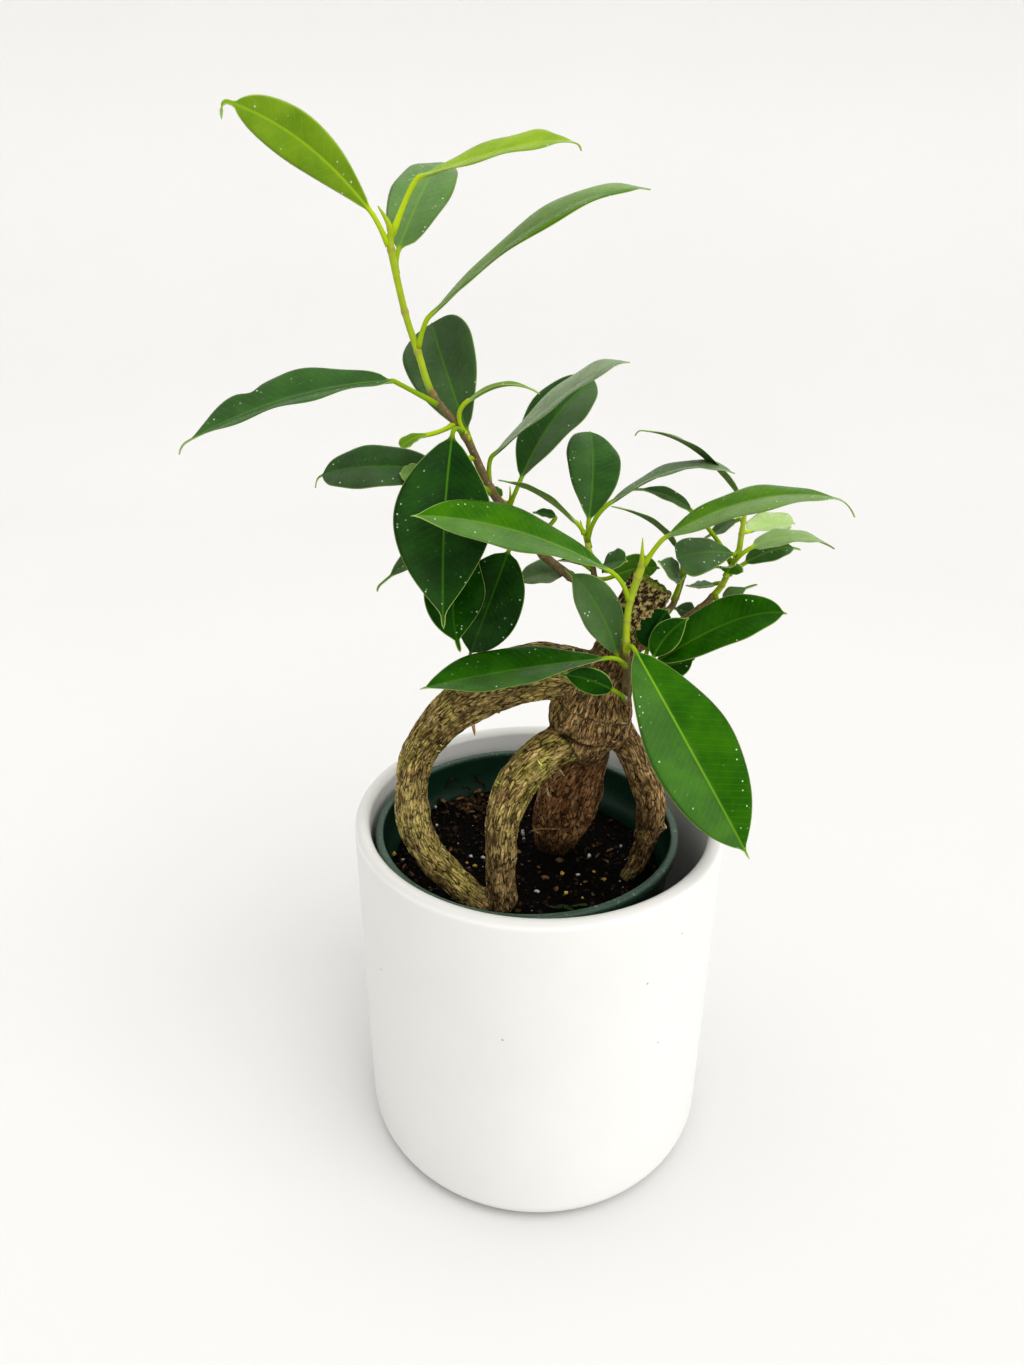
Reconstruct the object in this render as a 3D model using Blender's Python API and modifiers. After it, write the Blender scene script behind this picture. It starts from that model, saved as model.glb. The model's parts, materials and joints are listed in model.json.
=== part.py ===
"""Potted ginseng ficus: a white glazed cachepot, a green nursery pot standing in it, potting mix, one swollen
rootstock with its aerial roots and cut trunk, seven shoots and their leaves. Modelled in millimetres and
scaled to metres; +Z is up, +X is the viewer's right, the front is -Y, and the origin is the middle of the
cachepot's flat underside."""

import math

import bmesh
import bpy
from mathutils import Vector

MM = 0.001

# Cachepot: a straight ceramic cylinder
CACHEPOT_RADIUS = 63.5
CACHEPOT_HEIGHT = 127.0
CACHEPOT_WALL = 5.1
CACHEPOT_FLOOR = 8.0
CACHEPOT_FOOT_ROUND = 7.0
LIP_ROUND = 2.5

# Nursery pot: a thin tapered moulding that stands off centre in the cachepot
NURSERY_CENTRE = (-4.1, -1.1)
NURSERY_RIM_RADIUS = 52.5
NURSERY_RIM_TOP = 121.6
NURSERY_RIM_WIDE = 2.7
NURSERY_RIM_DEEP = 4.0
NURSERY_BASE_RADIUS = 38.5
NURSERY_WALL = 1.1
STAND_GAP = 0.3
DRAIN_HOLES = 6
DRAIN_RADIUS = 4.0
DRAIN_CIRCLE = 26.0

# Potting mix
SOIL_TOP = 102.0
SOIL_CROWN = 1.0
ROOT_CLEARANCE = 0.9

# Leaves
LEAF_THICK = 0.5
LEAF_STATIONS = 7
PETIOLE_RADIUS = 0.8
ATTACH_GAP = 0.35


def clear_scene():
    for old in list(bpy.data.objects):
        bpy.data.objects.remove(old, do_unlink=True)
    for name in ("potted_ginseng_ficus", "helpers"):
        bpy.context.scene.collection.children.link(bpy.data.collections.new(name))


def material(name, colour, roughness, metallic=0.0):
    made = bpy.data.materials.new(name)
    made.use_nodes = True
    shader = made.node_tree.nodes["Principled BSDF"]
    shader.inputs["Base Color"].default_value = (*colour, 1.0)
    shader.inputs["Roughness"].default_value = roughness
    shader.inputs["Metallic"].default_value = metallic
    made.diffuse_color = (*colour, 1.0)
    return made


def add_object(name, data, made_of=None, helper=False):
    placed = bpy.data.objects.new(name, data)
    bpy.data.collections["helpers" if helper else "potted_ginseng_ficus"].objects.link(placed)
    if made_of is not None:
        data.materials.append(made_of)
    if helper:
        placed.hide_render = True
        placed.display_type = "WIRE"
    return placed


def lathe(name, profile, steps, made_of, centre=(0.0, 0.0), helper=False):
    """Turns (radius, height) points about a vertical axis; they run down the outer side."""
    mesh = bpy.data.meshes.new(name)
    points = [(r * MM, 0.0, z * MM) for r, z in profile]
    mesh.from_pydata(points, [(i, i + 1) for i in range(len(points) - 1)], [])
    turned = add_object(name, mesh, made_of, helper)
    turned.location = (centre[0] * MM, centre[1] * MM, 0.0)
    screw = turned.modifiers.new("turn", "SCREW")
    screw.axis = "Z"
    screw.angle = math.tau
    screw.steps = screw.render_steps = steps
    screw.use_merge_vertices = True
    screw.merge_threshold = 0.00001
    return turned


def quarter(cx, cz, radius, start, end, count):
    """Points on an arc of a profile, from one angle to another in degrees."""
    angles = [math.radians(start + (end - start) * i / count) for i in range(count + 1)]
    return [(cx + radius * math.cos(a), cz + radius * math.sin(a)) for a in angles]


def make_cachepot():
    glaze = material("white_glaze", (0.83, 0.82, 0.80), 0.22)
    outer, inner = CACHEPOT_RADIUS, CACHEPOT_RADIUS - CACHEPOT_WALL
    top, fillet = CACHEPOT_HEIGHT, 6.0
    profile = [(0.0, CACHEPOT_FLOOR)]
    profile += quarter(inner - fillet, CACHEPOT_FLOOR + fillet, fillet, -90, 0, 3)
    profile += quarter(inner + LIP_ROUND, top - LIP_ROUND, LIP_ROUND, 180, 90, 3)
    profile += quarter(outer - LIP_ROUND, top - LIP_ROUND, LIP_ROUND, 90, 0, 3)
    foot = CACHEPOT_FOOT_ROUND
    profile += quarter(outer - foot, foot, foot, 0, -90, 3)
    profile += [(0.0, 0.0)]
    return lathe("cachepot", profile, 48, glaze)


def nursery_outer(z):
    """Outer radius of the nursery pot's tapered wall at a height."""
    base, top = CACHEPOT_FLOOR + STAND_GAP, NURSERY_RIM_TOP - NURSERY_RIM_DEEP
    wide = NURSERY_RIM_RADIUS - NURSERY_RIM_WIDE + NURSERY_WALL
    return NURSERY_BASE_RADIUS + (wide - NURSERY_BASE_RADIUS) * (z - base) / (top - base)


def make_nursery_pot():
    plastic = material("green_plastic", (0.03, 0.10, 0.07), 0.45)
    rim, top = NURSERY_RIM_RADIUS, NURSERY_RIM_TOP
    inside = rim - NURSERY_RIM_WIDE
    base = CACHEPOT_FLOOR + STAND_GAP
    floor = base + 1.2
    profile = [(0.0, floor), (nursery_outer(floor + 2) - NURSERY_WALL - 2, floor)]
    profile += [(nursery_outer(floor + 2) - NURSERY_WALL, floor + 2)]
    profile += [(nursery_outer(top - 12) - NURSERY_WALL, top - 12), (inside - 0.25, top - 11.2)]
    profile += [(inside, top - 0.5), (inside + 0.5, top), (rim - 0.6, top), (rim, top - 0.6)]
    profile += [(rim - 0.2, top - NURSERY_RIM_DEEP)]
    profile += [(nursery_outer(top - NURSERY_RIM_DEEP), top - NURSERY_RIM_DEEP)]
    profile += [(nursery_outer(base + 1), base + 1), (nursery_outer(base) - 1, base), (0.0, base)]
    pot = lathe("nursery_pot", profile, 40, plastic, NURSERY_CENTRE)
    for i in range(DRAIN_HOLES):
        turn = math.tau * i / DRAIN_HOLES
        bpy.ops.mesh.primitive_cylinder_add(vertices=12, radius=DRAIN_RADIUS * MM, depth=0.008)
        drill = bpy.context.object
        drill.name = f"drain_cutter_{i + 1}"
        drill.location = (
            (NURSERY_CENTRE[0] + DRAIN_CIRCLE * math.cos(turn)) * MM,
            (NURSERY_CENTRE[1] + DRAIN_CIRCLE * math.sin(turn)) * MM,
            (base + 0.6) * MM,
        )
        for owner in list(drill.users_collection):
            owner.objects.unlink(drill)
        bpy.data.collections["helpers"].objects.link(drill)
        drill.hide_render = True
        drill.display_type = "WIRE"
        cut = pot.modifiers.new(drill.name, "BOOLEAN")
        cut.operation = "DIFFERENCE"
        cut.solver = "EXACT"
        cut.object = drill
    return pot


def smooth_path(points, per_span=6):
    """Points on a smooth curve through the given points (Catmull-Rom); a fourth value, a radius, rides along."""
    points = [Vector(p) for p in points]
    path = []
    for i in range(len(points) - 1):
        before = points[max(i - 1, 0)]
        after = points[min(i + 2, len(points) - 1)]
        a, b = points[i], points[i + 1]
        for k in range(per_span):
            t = k / per_span
            path.append(
                0.5
                * (
                    2 * a
                    + (b - before) * t
                    + (2 * before - 5 * a + 4 * b - after) * t**2
                    + (3 * a - before - 3 * b + after) * t**3
                )
            )
    path.append(points[-1])
    return path


def tube_curve(name, path, sides, made_of=None, extra=0.0, helper=False):
    """A round bar of changing thickness: a curve with a bevel, from points of (x, y, z, radius)."""
    curve = bpy.data.curves.new(name, "CURVE")
    curve.dimensions = "3D"
    curve.bevel_depth = MM
    curve.bevel_resolution = (sides - 4) // 2
    curve.use_fill_caps = True
    curve.twist_mode = "MINIMUM"
    spline = curve.splines.new("POLY")
    spline.points.add(len(path) - 1)
    for point, (x, y, z, radius) in zip(spline.points, path):
        point.co = (x * MM, y * MM, z * MM, 1.0)
        point.radius = radius + extra
    return add_object(name, curve, made_of, helper)


# The roots and the trunk, as (x, y, z, radius): every limb starts inside the swollen head
TRUNK = [
    (16, -5, 158, 9.5),
    (16.8, -6, 168, 13.0),
    (19.5, -5.2, 177, 10.2),
    (22.7, -4.5, 185, 8.0),
    (25.3, -4, 192, 7.3),
    (28, -4, 198.5, 7.2),
    (31, -3.5, 205, 7.2),
    (34, -3, 210.8, 6.8),
]
HEAD = [(14.5, -6, 159, 11.5), (16, -6, 165, 14.0), (17.5, -6, 171, 12.0)]
ARCH_ROOT = [
    (19, -5, 180, 6.5),
    (7, -4, 180.4, 9.1),
    (-3.6, -5, 180.3, 9.6),
    (-13.2, -7, 177.4, 9.0),
    (-23, -9, 172, 7.9),
    (-32.3, -11, 164.2, 6.8),
    (-39.3, -13, 154, 6.0),
    (-41.8, -15, 141.7, 5.5),
    (-41.2, -17.5, 132.5, 5.9),
    (-37.6, -20, 123.4, 5.7),
    (-30, -23, 115, 5.2),
    (-20.5, -25, 106.3, 5.0),
    (-12, -23.5, 97, 4.4),
    (-7, -20.5, 88, 2.6),
]
MIDDLE_ROOT = [
    (13, -8, 160, 8.0),
    (6, -13, 158.5, 6.8),
    (-2, -17.5, 154, 7.0),
    (-8.5, -21.5, 146, 6.6),
    (-11.5, -24, 136, 5.8),
    (-12, -25.5, 126, 5.2),
    (-11.8, -25.5, 116, 5.2),
    (-11.3, -24.5, 104, 5.4),
    (-9, -22, 94, 4.6),
    (-6, -18, 86, 2.6),
]
TAP_ROOT = [
    (16, -4, 158, 8.5),
    (16.5, -1.2, 148, 7.0),
    (13.5, 1.6, 139, 9.4),
    (10.5, 4.6, 127.5, 11.2),
    (7.4, 7, 116, 9.9),
    (6, 8.6, 106, 7.4),
    (6, 8.5, 94, 5.6),
    (7, 6, 80, 3.2),
]
RIGHT_ROOT = [
    (21, -5, 163, 7.0),
    (27.8, -5.8, 157, 5.4),
    (32.6, -5.5, 148, 5.2),
    (36.6, -5, 138, 5.4),
    (38.3, -4.5, 128, 5.0),
    (37.6, -3.5, 117, 4.0),
    (35.6, -2, 106.5, 3.7),
    (33, 0, 96, 3.0),
    (30, 3, 88, 1.8),
]
LIMBS = {
    "trunk": TRUNK,
    "head": HEAD,
    "arch_root": ARCH_ROOT,
    "middle_root": MIDDLE_ROOT,
    "tap_root": TAP_ROOT,
    "right_root": RIGHT_ROOT,
}
SOIL_LIMBS = ("arch_root", "middle_root", "tap_root", "right_root")


def joined_limbs(name, names, extra, sides):
    """One mesh that holds the limbs' tubes, converted from their curves."""
    whole = bmesh.new()
    for limb in names:
        bar = tube_curve(f"{name}_{limb}", smooth_path(LIMBS[limb], 4), sides, extra=extra, helper=True)
        bpy.context.view_layer.update()
        mesh = bpy.data.meshes.new_from_object(bar.evaluated_get(bpy.context.evaluated_depsgraph_get()))
        whole.from_mesh(mesh)
        bpy.data.objects.remove(bar)
        bpy.data.meshes.remove(mesh)
    bmesh.ops.remove_doubles(whole, verts=whole.verts, dist=0.000001)
    bmesh.ops.recalc_face_normals(whole, faces=whole.faces)
    joined = bpy.data.meshes.new(name)
    whole.to_mesh(joined)
    whole.free()
    return joined


def make_rootstock():
    bark = material("root_bark", (0.24, 0.15, 0.08), 0.8)
    stock = add_object("rootstock", joined_limbs("rootstock", LIMBS, 0.0, 16), bark)
    remesh = stock.modifiers.new("grow_together", "REMESH")
    remesh.mode = "VOXEL"
    remesh.voxel_size = 0.0014
    relax = stock.modifiers.new("relax", "SMOOTH")
    relax.factor = 0.5
    relax.iterations = 6
    fewer = stock.modifiers.new("fewer", "DECIMATE")
    fewer.ratio = 0.1
    return stock


def make_soil():
    mix = material("potting_mix", (0.035, 0.025, 0.018), 0.95)
    base = CACHEPOT_FLOOR + STAND_GAP + 1.2 + STAND_GAP
    gap = NURSERY_WALL + STAND_GAP
    profile = [(0.0, SOIL_TOP + SOIL_CROWN), (22, SOIL_TOP + 0.8 * SOIL_CROWN)]
    profile += [(nursery_outer(SOIL_TOP) - gap - 4, SOIL_TOP)]
    profile += [(nursery_outer(SOIL_TOP - 1.5) - gap, SOIL_TOP - 1.5)]
    profile += [(nursery_outer(base + 3) - gap, base + 3), (nursery_outer(base) - gap - 3, base), (0.0, base)]
    soil = lathe("potting_mix", profile, 40, mix, NURSERY_CENTRE)
    sockets = joined_limbs("root_sockets", SOIL_LIMBS, ROOT_CLEARANCE, 12)
    cutter = add_object("root_sockets", sockets, helper=True)
    cut = soil.modifiers.new("root_sockets", "BOOLEAN")
    cut.operation = "DIFFERENCE"
    cut.solver = "EXACT"
    cut.use_self = True
    cut.object = cutter
    return soil


# Shoots, as (x, y, z, radius) from the wood outwards
TALL_SHOOT = [
    (24.6, 4.6, 200.0, 1.9),
    (20.0, 6.5, 202.0, 1.9),
    (8.6, 8.0, 208.5, 1.8),
    (-0.2, 8.0, 215.5, 1.7),
    (-9.1, 7.0, 226.0, 1.6),
    (-16.8, 6.0, 236.8, 1.5),
    (-24.0, 4.0, 252.5, 1.4),
    (-33.0, 3.0, 264.2, 1.3),
    (-36.8, 2.0, 276.0, 1.2),
    (-40.0, 1.5, 286.5, 1.1),
    (-42.9, 0.5, 302.1, 1.2),
    (-42.8, 0.0, 307.4, 0.9),
    (-45.8, 0.0, 312.6, 0.2),
]
FRONT_SHOOT = [
    (27.6, -14.0, 175.5, 1.7),
    (26.4, -14.2, 181.4, 1.6),
    (25.9, -14.6, 188.8, 1.4),
    (25.2, -15.0, 195.6, 1.4),
    (25.0, -16.0, 202.7, 1.3),
    (25.2, -17.0, 209.4, 1.3),
    (27.1, -18.0, 216.7, 1.3),
    (28.0, -18.5, 220.5, 1.1),
    (27.9, -19.0, 225.1, 0.5),
    (27.8, -19.0, 228.6, 0.15),
]
MIDDLE_SHOOT = [
    (21.7, 2.3, 200.5, 1.2),
    (17.2, 3.6, 207.0, 1.1),
    (15.1, 3.8, 215.2, 1.0),
    (13.7, 4.0, 219.5, 0.9),
    (12.3, 4.0, 223.6, 0.5),
    (11.0, 4.0, 227.7, 0.15),
]
SIDE_SHOOT = [
    (-11.8, 9.6, 227.5, 0.7),
    (-11.4, 10.0, 230.0, 0.6),
    (-10.7, 9.6, 233.0, 0.4),
    (-10.8, 9.4, 236.6, 0.15),
]
NEAR_RIGHT_SHOOT = [
    (36.2, 5.4, 194.9, 1.3),
    (40.2, 6.0, 198.0, 1.2),
    (42.5, 6.3, 202.4, 1.1),
    (44.3, 7.0, 209.4, 1.0),
    (45.2, 7.0, 213.4, 0.8),
    (45.9, 7.0, 216.8, 0.2),
]
FAR_RIGHT_SHOOT = [
    (33.8, 2.6, 188.0, 1.4),
    (41.0, 5.5, 192.0, 1.3),
    (50.6, 7.0, 198.8, 1.2),
    (54.3, 8.0, 202.2, 1.2),
    (57.0, 8.0, 206.3, 1.1),
    (58.8, 8.0, 211.0, 1.1),
    (61.0, 8.0, 216.9, 1.0),
    (61.4, 8.0, 223.0, 0.9),
    (61.7, 8.0, 229.9, 0.7),
    (61.6, 8.0, 233.6, 0.15),
]
LOW_RIGHT_SHOOT = [(29.2, -12.7, 184.6, 1.2), (30.6, -13.6, 187.0, 1.1), (31.8, -14.2, 190.0, 0.3)]
SHOOTS = {
    "tall_shoot": TALL_SHOOT,
    "front_shoot": FRONT_SHOOT,
    "middle_shoot": MIDDLE_SHOOT,
    "side_shoot": SIDE_SHOOT,
    "near_right_shoot": NEAR_RIGHT_SHOOT,
    "far_right_shoot": FAR_RIGHT_SHOOT,
    "low_right_shoot": LOW_RIGHT_SHOOT,
}
WOODY = ("tall_shoot", "near_right_shoot", "far_right_shoot", "low_right_shoot")


def make_shoots():
    brown = material("young_bark", (0.16, 0.11, 0.04), 0.7)
    green = material("green_stem", (0.35, 0.48, 0.04), 0.45)
    for name, points in SHOOTS.items():
        tube_curve(name, smooth_path(points, 2), 6, brown if name in WOODY else green)


def on_shoot(shoot, place):
    """Centre, radius and direction of a shoot at a place counted in its listed points."""
    path = smooth_path(SHOOTS[shoot], 10)
    at = min(int(place * 10), len(path) - 2)
    spot, beyond = path[at], path[at + 1]
    return spot.to_3d(), spot[3], (beyond - spot).to_3d().normalized()


def leaf_width(s, belly):
    """Half of the blade's width at s along the midrib, as a share of its widest half, with a drawn-out tip."""
    t = min(max(s / 0.94, 0.0), 1.0)
    a, b = 1.5 * belly, 1.5 * (1 - belly)
    blade = t**a * (1 - t) ** b / (belly**a * (1 - belly) ** b)
    return math.hypot(blade, 0.07 * (1 - 0.6 * s))


def make_leaf(
    name, shoot, place, base, mid, tip, width, faces, made_of, fold=12, twist=0, belly=0.47, hook=None
):
    """One leaf as one loft of six-sided rings: its stalk from the shoot, then its blade about the midrib.
    base, mid and tip lie on the midrib, faces is the way the upper side looks, fold is how far each half
    rises from flat and twist how far the blade turns from base to tip, both in degrees. hook, if given, is
    where the fine drip tip ends."""
    base, mid, tip, faces = Vector(base), Vector(mid), Vector(tip), Vector(faces)
    bend = 2 * mid - (base + tip) / 2
    thick = LEAF_THICK / 2
    first = (bend - base).normalized()
    centre, stem_radius, along = on_shoot(shoot, place)
    away = base - first * 3 - centre
    away = (away - along * away.dot(along)).normalized()
    start = centre + away * (stem_radius + ATTACH_GAP)
    lean = abs((base - first * 3 - start).normalized().dot(along))
    start += away * (PETIOLE_RADIUS * lean)
    reach = (base - start).length
    rings = []
    side = first.cross(faces).normalized()
    for i in range(3):
        t = i / 3
        guide = base - first * (0.45 * reach)
        spot = (1 - t) ** 2 * start + 2 * t * (1 - t) * guide + t**2 * base
        heading = ((1 - t) * (guide - start) + t * (base - guide)).normalized()
        across = (side - heading * side.dot(heading)).normalized()
        over = across.cross(heading)
        ring = []
        for angle in (150, 90, 30, -30, -90, -150):
            a = math.radians(angle)
            ring.append(spot - across * (PETIOLE_RADIUS * math.cos(a)) + over * (PETIOLE_RADIUS * math.sin(a)))
        rings.append(ring)
    for i in range(LEAF_STATIONS + 1):
        s = (i + 0.25) / (LEAF_STATIONS + 0.25)
        spot = (1 - s) ** 2 * base + 2 * s * (1 - s) * bend + s**2 * tip
        heading = ((1 - s) * (bend - base) + s * (tip - bend)).normalized()
        across = heading.cross(faces).normalized()
        over = across.cross(heading)
        turn = math.radians(twist) * (s - 0.5)
        across, over = (
            across * math.cos(turn) + over * math.sin(turn),
            over * math.cos(turn) - across * math.sin(turn),
        )
        half = width / 2 * leaf_width(s, belly)
        out = half * math.cos(math.radians(fold))
        rise = half * math.sin(math.radians(fold))
        plus, minus = spot + across * out + over * rise, spot - across * out + over * rise
        up = over * thick
        rings.append([plus + up, spot + up, minus + up, minus - up, spot - up, plus - up])
    if hook is not None:
        drop = (Vector(hook) - tip).normalized()
        over = across.cross(drop).normalized()
        plus, minus = Vector(hook) + across * 0.3, Vector(hook) - across * 0.3
        up = over * thick
        rings.append([plus + up, Vector(hook) + up, minus + up, minus - up, Vector(hook) - up, plus - up])
    mesh = bpy.data.meshes.new(name)
    corners = [tuple(p * MM) for ring in rings for p in ring]
    faces_of = []
    for r in range(len(rings) - 1):
        for k in range(6):
            n = (k + 1) % 6
            faces_of.append((r * 6 + k, r * 6 + n, r * 6 + 6 + n, r * 6 + 6 + k))
    last = (len(rings) - 1) * 6
    for edge in ((0, 1, 4, 5), (1, 2, 3, 4)):
        faces_of.append(edge[::-1])
        faces_of.append(tuple(last + k for k in edge))
    mesh.from_pydata(corners, [], faces_of)
    whole = bmesh.new()
    whole.from_mesh(mesh)
    bmesh.ops.recalc_face_normals(whole, faces=whole.faces)
    whole.to_mesh(mesh)
    whole.free()
    return add_object(name, mesh, made_of)


def make_leaves():
    dark = material("leaf_dark", (0.03, 0.12, 0.02), 0.35)
    young = material("leaf_young", (0.16, 0.36, 0.01), 0.35)

    def leaf(number, shoot, place, base, mid, tip, width, faces, made_of=dark, **shape):
        group = shoot.replace("_shoot", "")
        make_leaf(f"{group}_leaf_{number}", shoot, place, base, mid, tip, width, faces, made_of, **shape)

    tall = "tall_shoot"
    leaf(1, tall, 10.1, (-48, 0, 311.5), (-65, 2.5, 328.2), (-84.5, 2, 337), 13.5, (-0.4, -0.8, 0.4), young,
         fold=6, belly=0.51, hook=(-85.8, 1, 332.5))
    leaf(2, tall, 10.6, (-35, 0, 319.5), (-8.5, -8, 325), (5.5, -7.5, 326), 15, (-0.2, -0.4, 0.9), young,
         fold=8, hook=(7, -8, 324.8))
    leaf(3, tall, 9.6, (-41.5, 4, 302), (-36, 23.5, 319), (-33.5, 44, 327), 18, (0, -0.5, 0.85), fold=5)
    leaf(4, tall, 8.1, (-33, 0, 285.5), (0.5, -4.5, 309.5), (26, -1, 316.5), 20, (-0.45, -0.3, 0.85), young, fold=3)
    leaf(5, tall, 5.2, (-23.5, 9, 253), (-30.5, 20, 272.5), (-34.5, 29.5, 284.5), 25, (-0.3, -0.8, 0.45),
         fold=15, twist=10, belly=0.57)
    leaf(6, tall, 7, (-43.5, -2, 268.5), (-71, -11, 264.5), (-97, -21.5, 254.5), 21, (-0.1, -0.35, 0.9),
         fold=16, twist=-5, belly=0.54, hook=(-99.3, -25, 251.3))
    leaf(7, tall, 5.9, (-22.8, 1.5, 262.5), (-11.9, -1, 267), (-1.9, -3, 265.2), 3, (0, -0.3, 1), young, fold=25)
    leaf(8, tall, 6.3, (-31, 0.5, 255.2), (-36.8, -1, 253.6), (-42, -3, 251), 3.5, (0, -0.5, 1), young, fold=10)
    leaf(9, tall, 4.9, (-31, 0, 243), (-54, 4, 243), (-69.5, 9, 239), 16, (-0.2, -0.65, 0.75), fold=2,
         hook=(-70.9, 8, 235.9))
    leaf(10, tall, 5.6, (-34, -0.8, 244), (-39.5, -1.5, 242.5), (-43, -2.5, 243), 8, (-0.3, -0.6, 0.75), young)
    leaf(11, tall, 6.15, (-27, -2.5, 254), (-30.3, -7, 227), (-28.5, -24, 202.5), 29.5, (0, -0.9, 0.35),
         fold=20, twist=-5, belly=0.49)
    leaf(12, tall, 4.2, (-22, 5, 220), (-28, -1.5, 205), (-25.8, -10, 189.3), 21, (0.2, -0.85, 0.45), belly=0.47)
    leaf(13, tall, 3.6, (-11, 6, 217), (-17.2, 1, 200), (-24.3, 3, 180.5), 24, (-0.2, -0.9, 0.3), belly=0.5)
    leaf(14, tall, 4.4, (-21, 11, 223), (-36, 7, 217), (-50.5, -2, 208), 13, (-0.4, -0.6, 0.7),
         hook=(-51.2, -4, 206.6))
    leaf(15, tall, 5.15, (-16, 6, 247), (8, -0.5, 267.5), (23, -2, 274), 18, (-0.6, -0.15, 0.8), fold=6, twist=7,
         belly=0.5)
    leaf(16, tall, 2.3, (7, 11.5, 208.5), (-2, 10.5, 208.5), (-11.5, 9, 204), 11, (-0.15, -0.5, 0.85))
    leaf(17, tall, 3.4, (2.7, 10, 227), (-0.8, 10, 228), (-4.5, 10, 228.3), 4, (0.2, -0.4, 0.9))

    side = "side_shoot"
    leaf(1, side, 0.9, (-7.5, 10.5, 238.5), (2.5, 23, 254.5), (15.5, 31.5, 266.5), 22, (-0.35, -0.6, 0.7),
         fold=10, twist=-10, belly=0.6)
    leaf(2, side, 1.3, (-14, 11.3, 232.3), (-15.5, 11.5, 234), (-17.3, 11.5, 235.7), 5, (0.4, -0.6, 0.7), young)

    front = "front_shoot"
    leaf(1, front, 5, (19, -18, 218.5), (-8.5, -17, 229.3), (-36.5, -27, 236), 23, (0.3, -0.3, 0.9), young,
         fold=5, twist=28, belly=0.49)
    leaf(2, front, 7, (34, -20, 230), (56.5, -23.5, 240.8), (82, -25, 240.5), 18, (-0.15, 0.55, 0.8), young,
         fold=2, twist=8, belly=0.42, hook=(83.4, -26, 237.3))
    leaf(3, front, 2.7, (27.5, -18, 194.5), (44.5, -35, 169), (63, -44, 138), 29, (0.3, -0.78, 0.55),
         fold=8, twist=-12, belly=0.53)
    leaf(4, front, 1.8, (23, -13.6, 190.5), (15.2, -12.8, 206.5), (5.6, -12.5, 217.3), 14, (0.4, -0.85, 0.35),
         fold=8, belly=0.5)
    leaf(5, front, 1.8, (19.5, -20, 192), (-11, -19, 186.5), (-35.5, -29.5, 185), 22, (-0.1, -0.2, 0.97),
         fold=9, twist=10, belly=0.52)
    leaf(6, front, 0.3, (21.5, -22, 182), (14, -20, 184), (5.5, -19, 185), 8, (-0.25, -0.95, 0.25), fold=14)

    middle = "middle_shoot"
    leaf(1, middle, 2.8, (13.8, 8, 226.5), (15.5, 23.5, 239.5), (15, 42.5, 248), 18, (0.25, -0.5, 0.85), fold=6,
         belly=0.57)
    leaf(2, middle, 3.4, (19.5, 1.5, 233.5), (39, 3.5, 243), (55.5, 2, 242.5), 13, (-0.26, 0, 0.97), fold=8)
    leaf(3, middle, 4, (10, 3, 227), (-1.8, 2, 235.3), (-13, 1, 240), 5.5, (0.4, 0.45, 0.8), young, fold=8)
    leaf(4, middle, 1.6, (14, 7, 213.5), (9, 8.5, 213), (5, 9.5, 212.6), 6, (-0.05, 0, 1))
    leaf(5, middle, 2.3, (18.5, 1, 214), (22, -1.5, 216), (25.5, -4, 217), 9.5, (-0.1, -0.5, 0.85))
    leaf(6, middle, 1.2, (22, 5, 209.5), (29.8, 8, 211.3), (37, 8, 211.5), 9.5, (0.2, -0.75, 0.6), young)

    near = "near_right_shoot"
    leaf(1, near, 1.8, (41, 4, 220.5), (32, 2, 228.6), (20, 0, 233), 5.5, (0.5, 0.35, 0.8))
    leaf(2, near, 3.6, (47, 5.5, 212), (50, 4.5, 213.7), (56, 3, 213.2), 7, (-0.25, -0.2, 0.95), young)
    leaf(3, near, 3.4, (43, 3, 210), (39, -1.5, 214), (34.5, -4, 217.5), 8, (0.7, -0.5, 0.4))

    far = "far_right_shoot"
    leaf(1, far, 6.1, (58.5, 4.5, 217.3), (50.5, 1.5, 219.2), (42, -1, 220), 9.5, (0.25, -0.75, 0.6), fold=10,
         belly=0.66)
    leaf(2, far, 5.4, (45.4, 9, 229.8), (36.4, 10.5, 234.7), (27, 11.5, 235.5), 6, (0.15, -0.5, 0.85))
    leaf(3, far, 8.4, (60, 9, 235), (44.8, 8, 248.5), (28.5, 8, 254), 8, (0.5, 0.1, 0.85), hook=(26.6, 8, 252.7))
    leaf(4, far, 7.2, (65.5, 14, 222), (75, 20, 222.5), (80, 20.5, 224), 14, (-0.05, -0.15, 1), young)
    leaf(5, far, 5.1, (64, 3, 220.2), (76.3, 2, 224.5), (88, 0, 223.5), 8, (0, 0, 1), young, fold=4, twist=140,
         belly=0.55, hook=(88.8, -1, 220.6))
    leaf(6, far, 4.8, (63.5, 8, 213.6), (73.5, 10.5, 217.5), (82, 14.5, 216.5), 8, (0.05, -0.5, 0.85))
    leaf(7, far, 7.5, (60.4, 13, 226), (55.2, 14, 222.5), (50, 15, 218.4), 6.5, (-0.6, -0.35, 0.7))
    leaf(8, far, 4.8, (57, 3, 212), (58, 1, 214.5), (58.5, -1.5, 216), 8, (0.2, -0.9, 0.35), young)
    leaf(9, far, 4.1, (55, 10.5, 205.8), (50.5, 10, 205), (46, 11, 205), 8, (0, 0, 1))
    leaf(10, far, 3.2, (57.5, 3.5, 202), (61.5, 4.5, 205.2), (68, 7, 207), 7, (-0.3, -0.3, 0.9), young)
    leaf(11, far, 1.5, (49.5, 10.5, 195.5), (46.7, 10.5, 196.4), (42, 10.5, 197.5), 6.5, (0.4, -0.75, 0.5))

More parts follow.
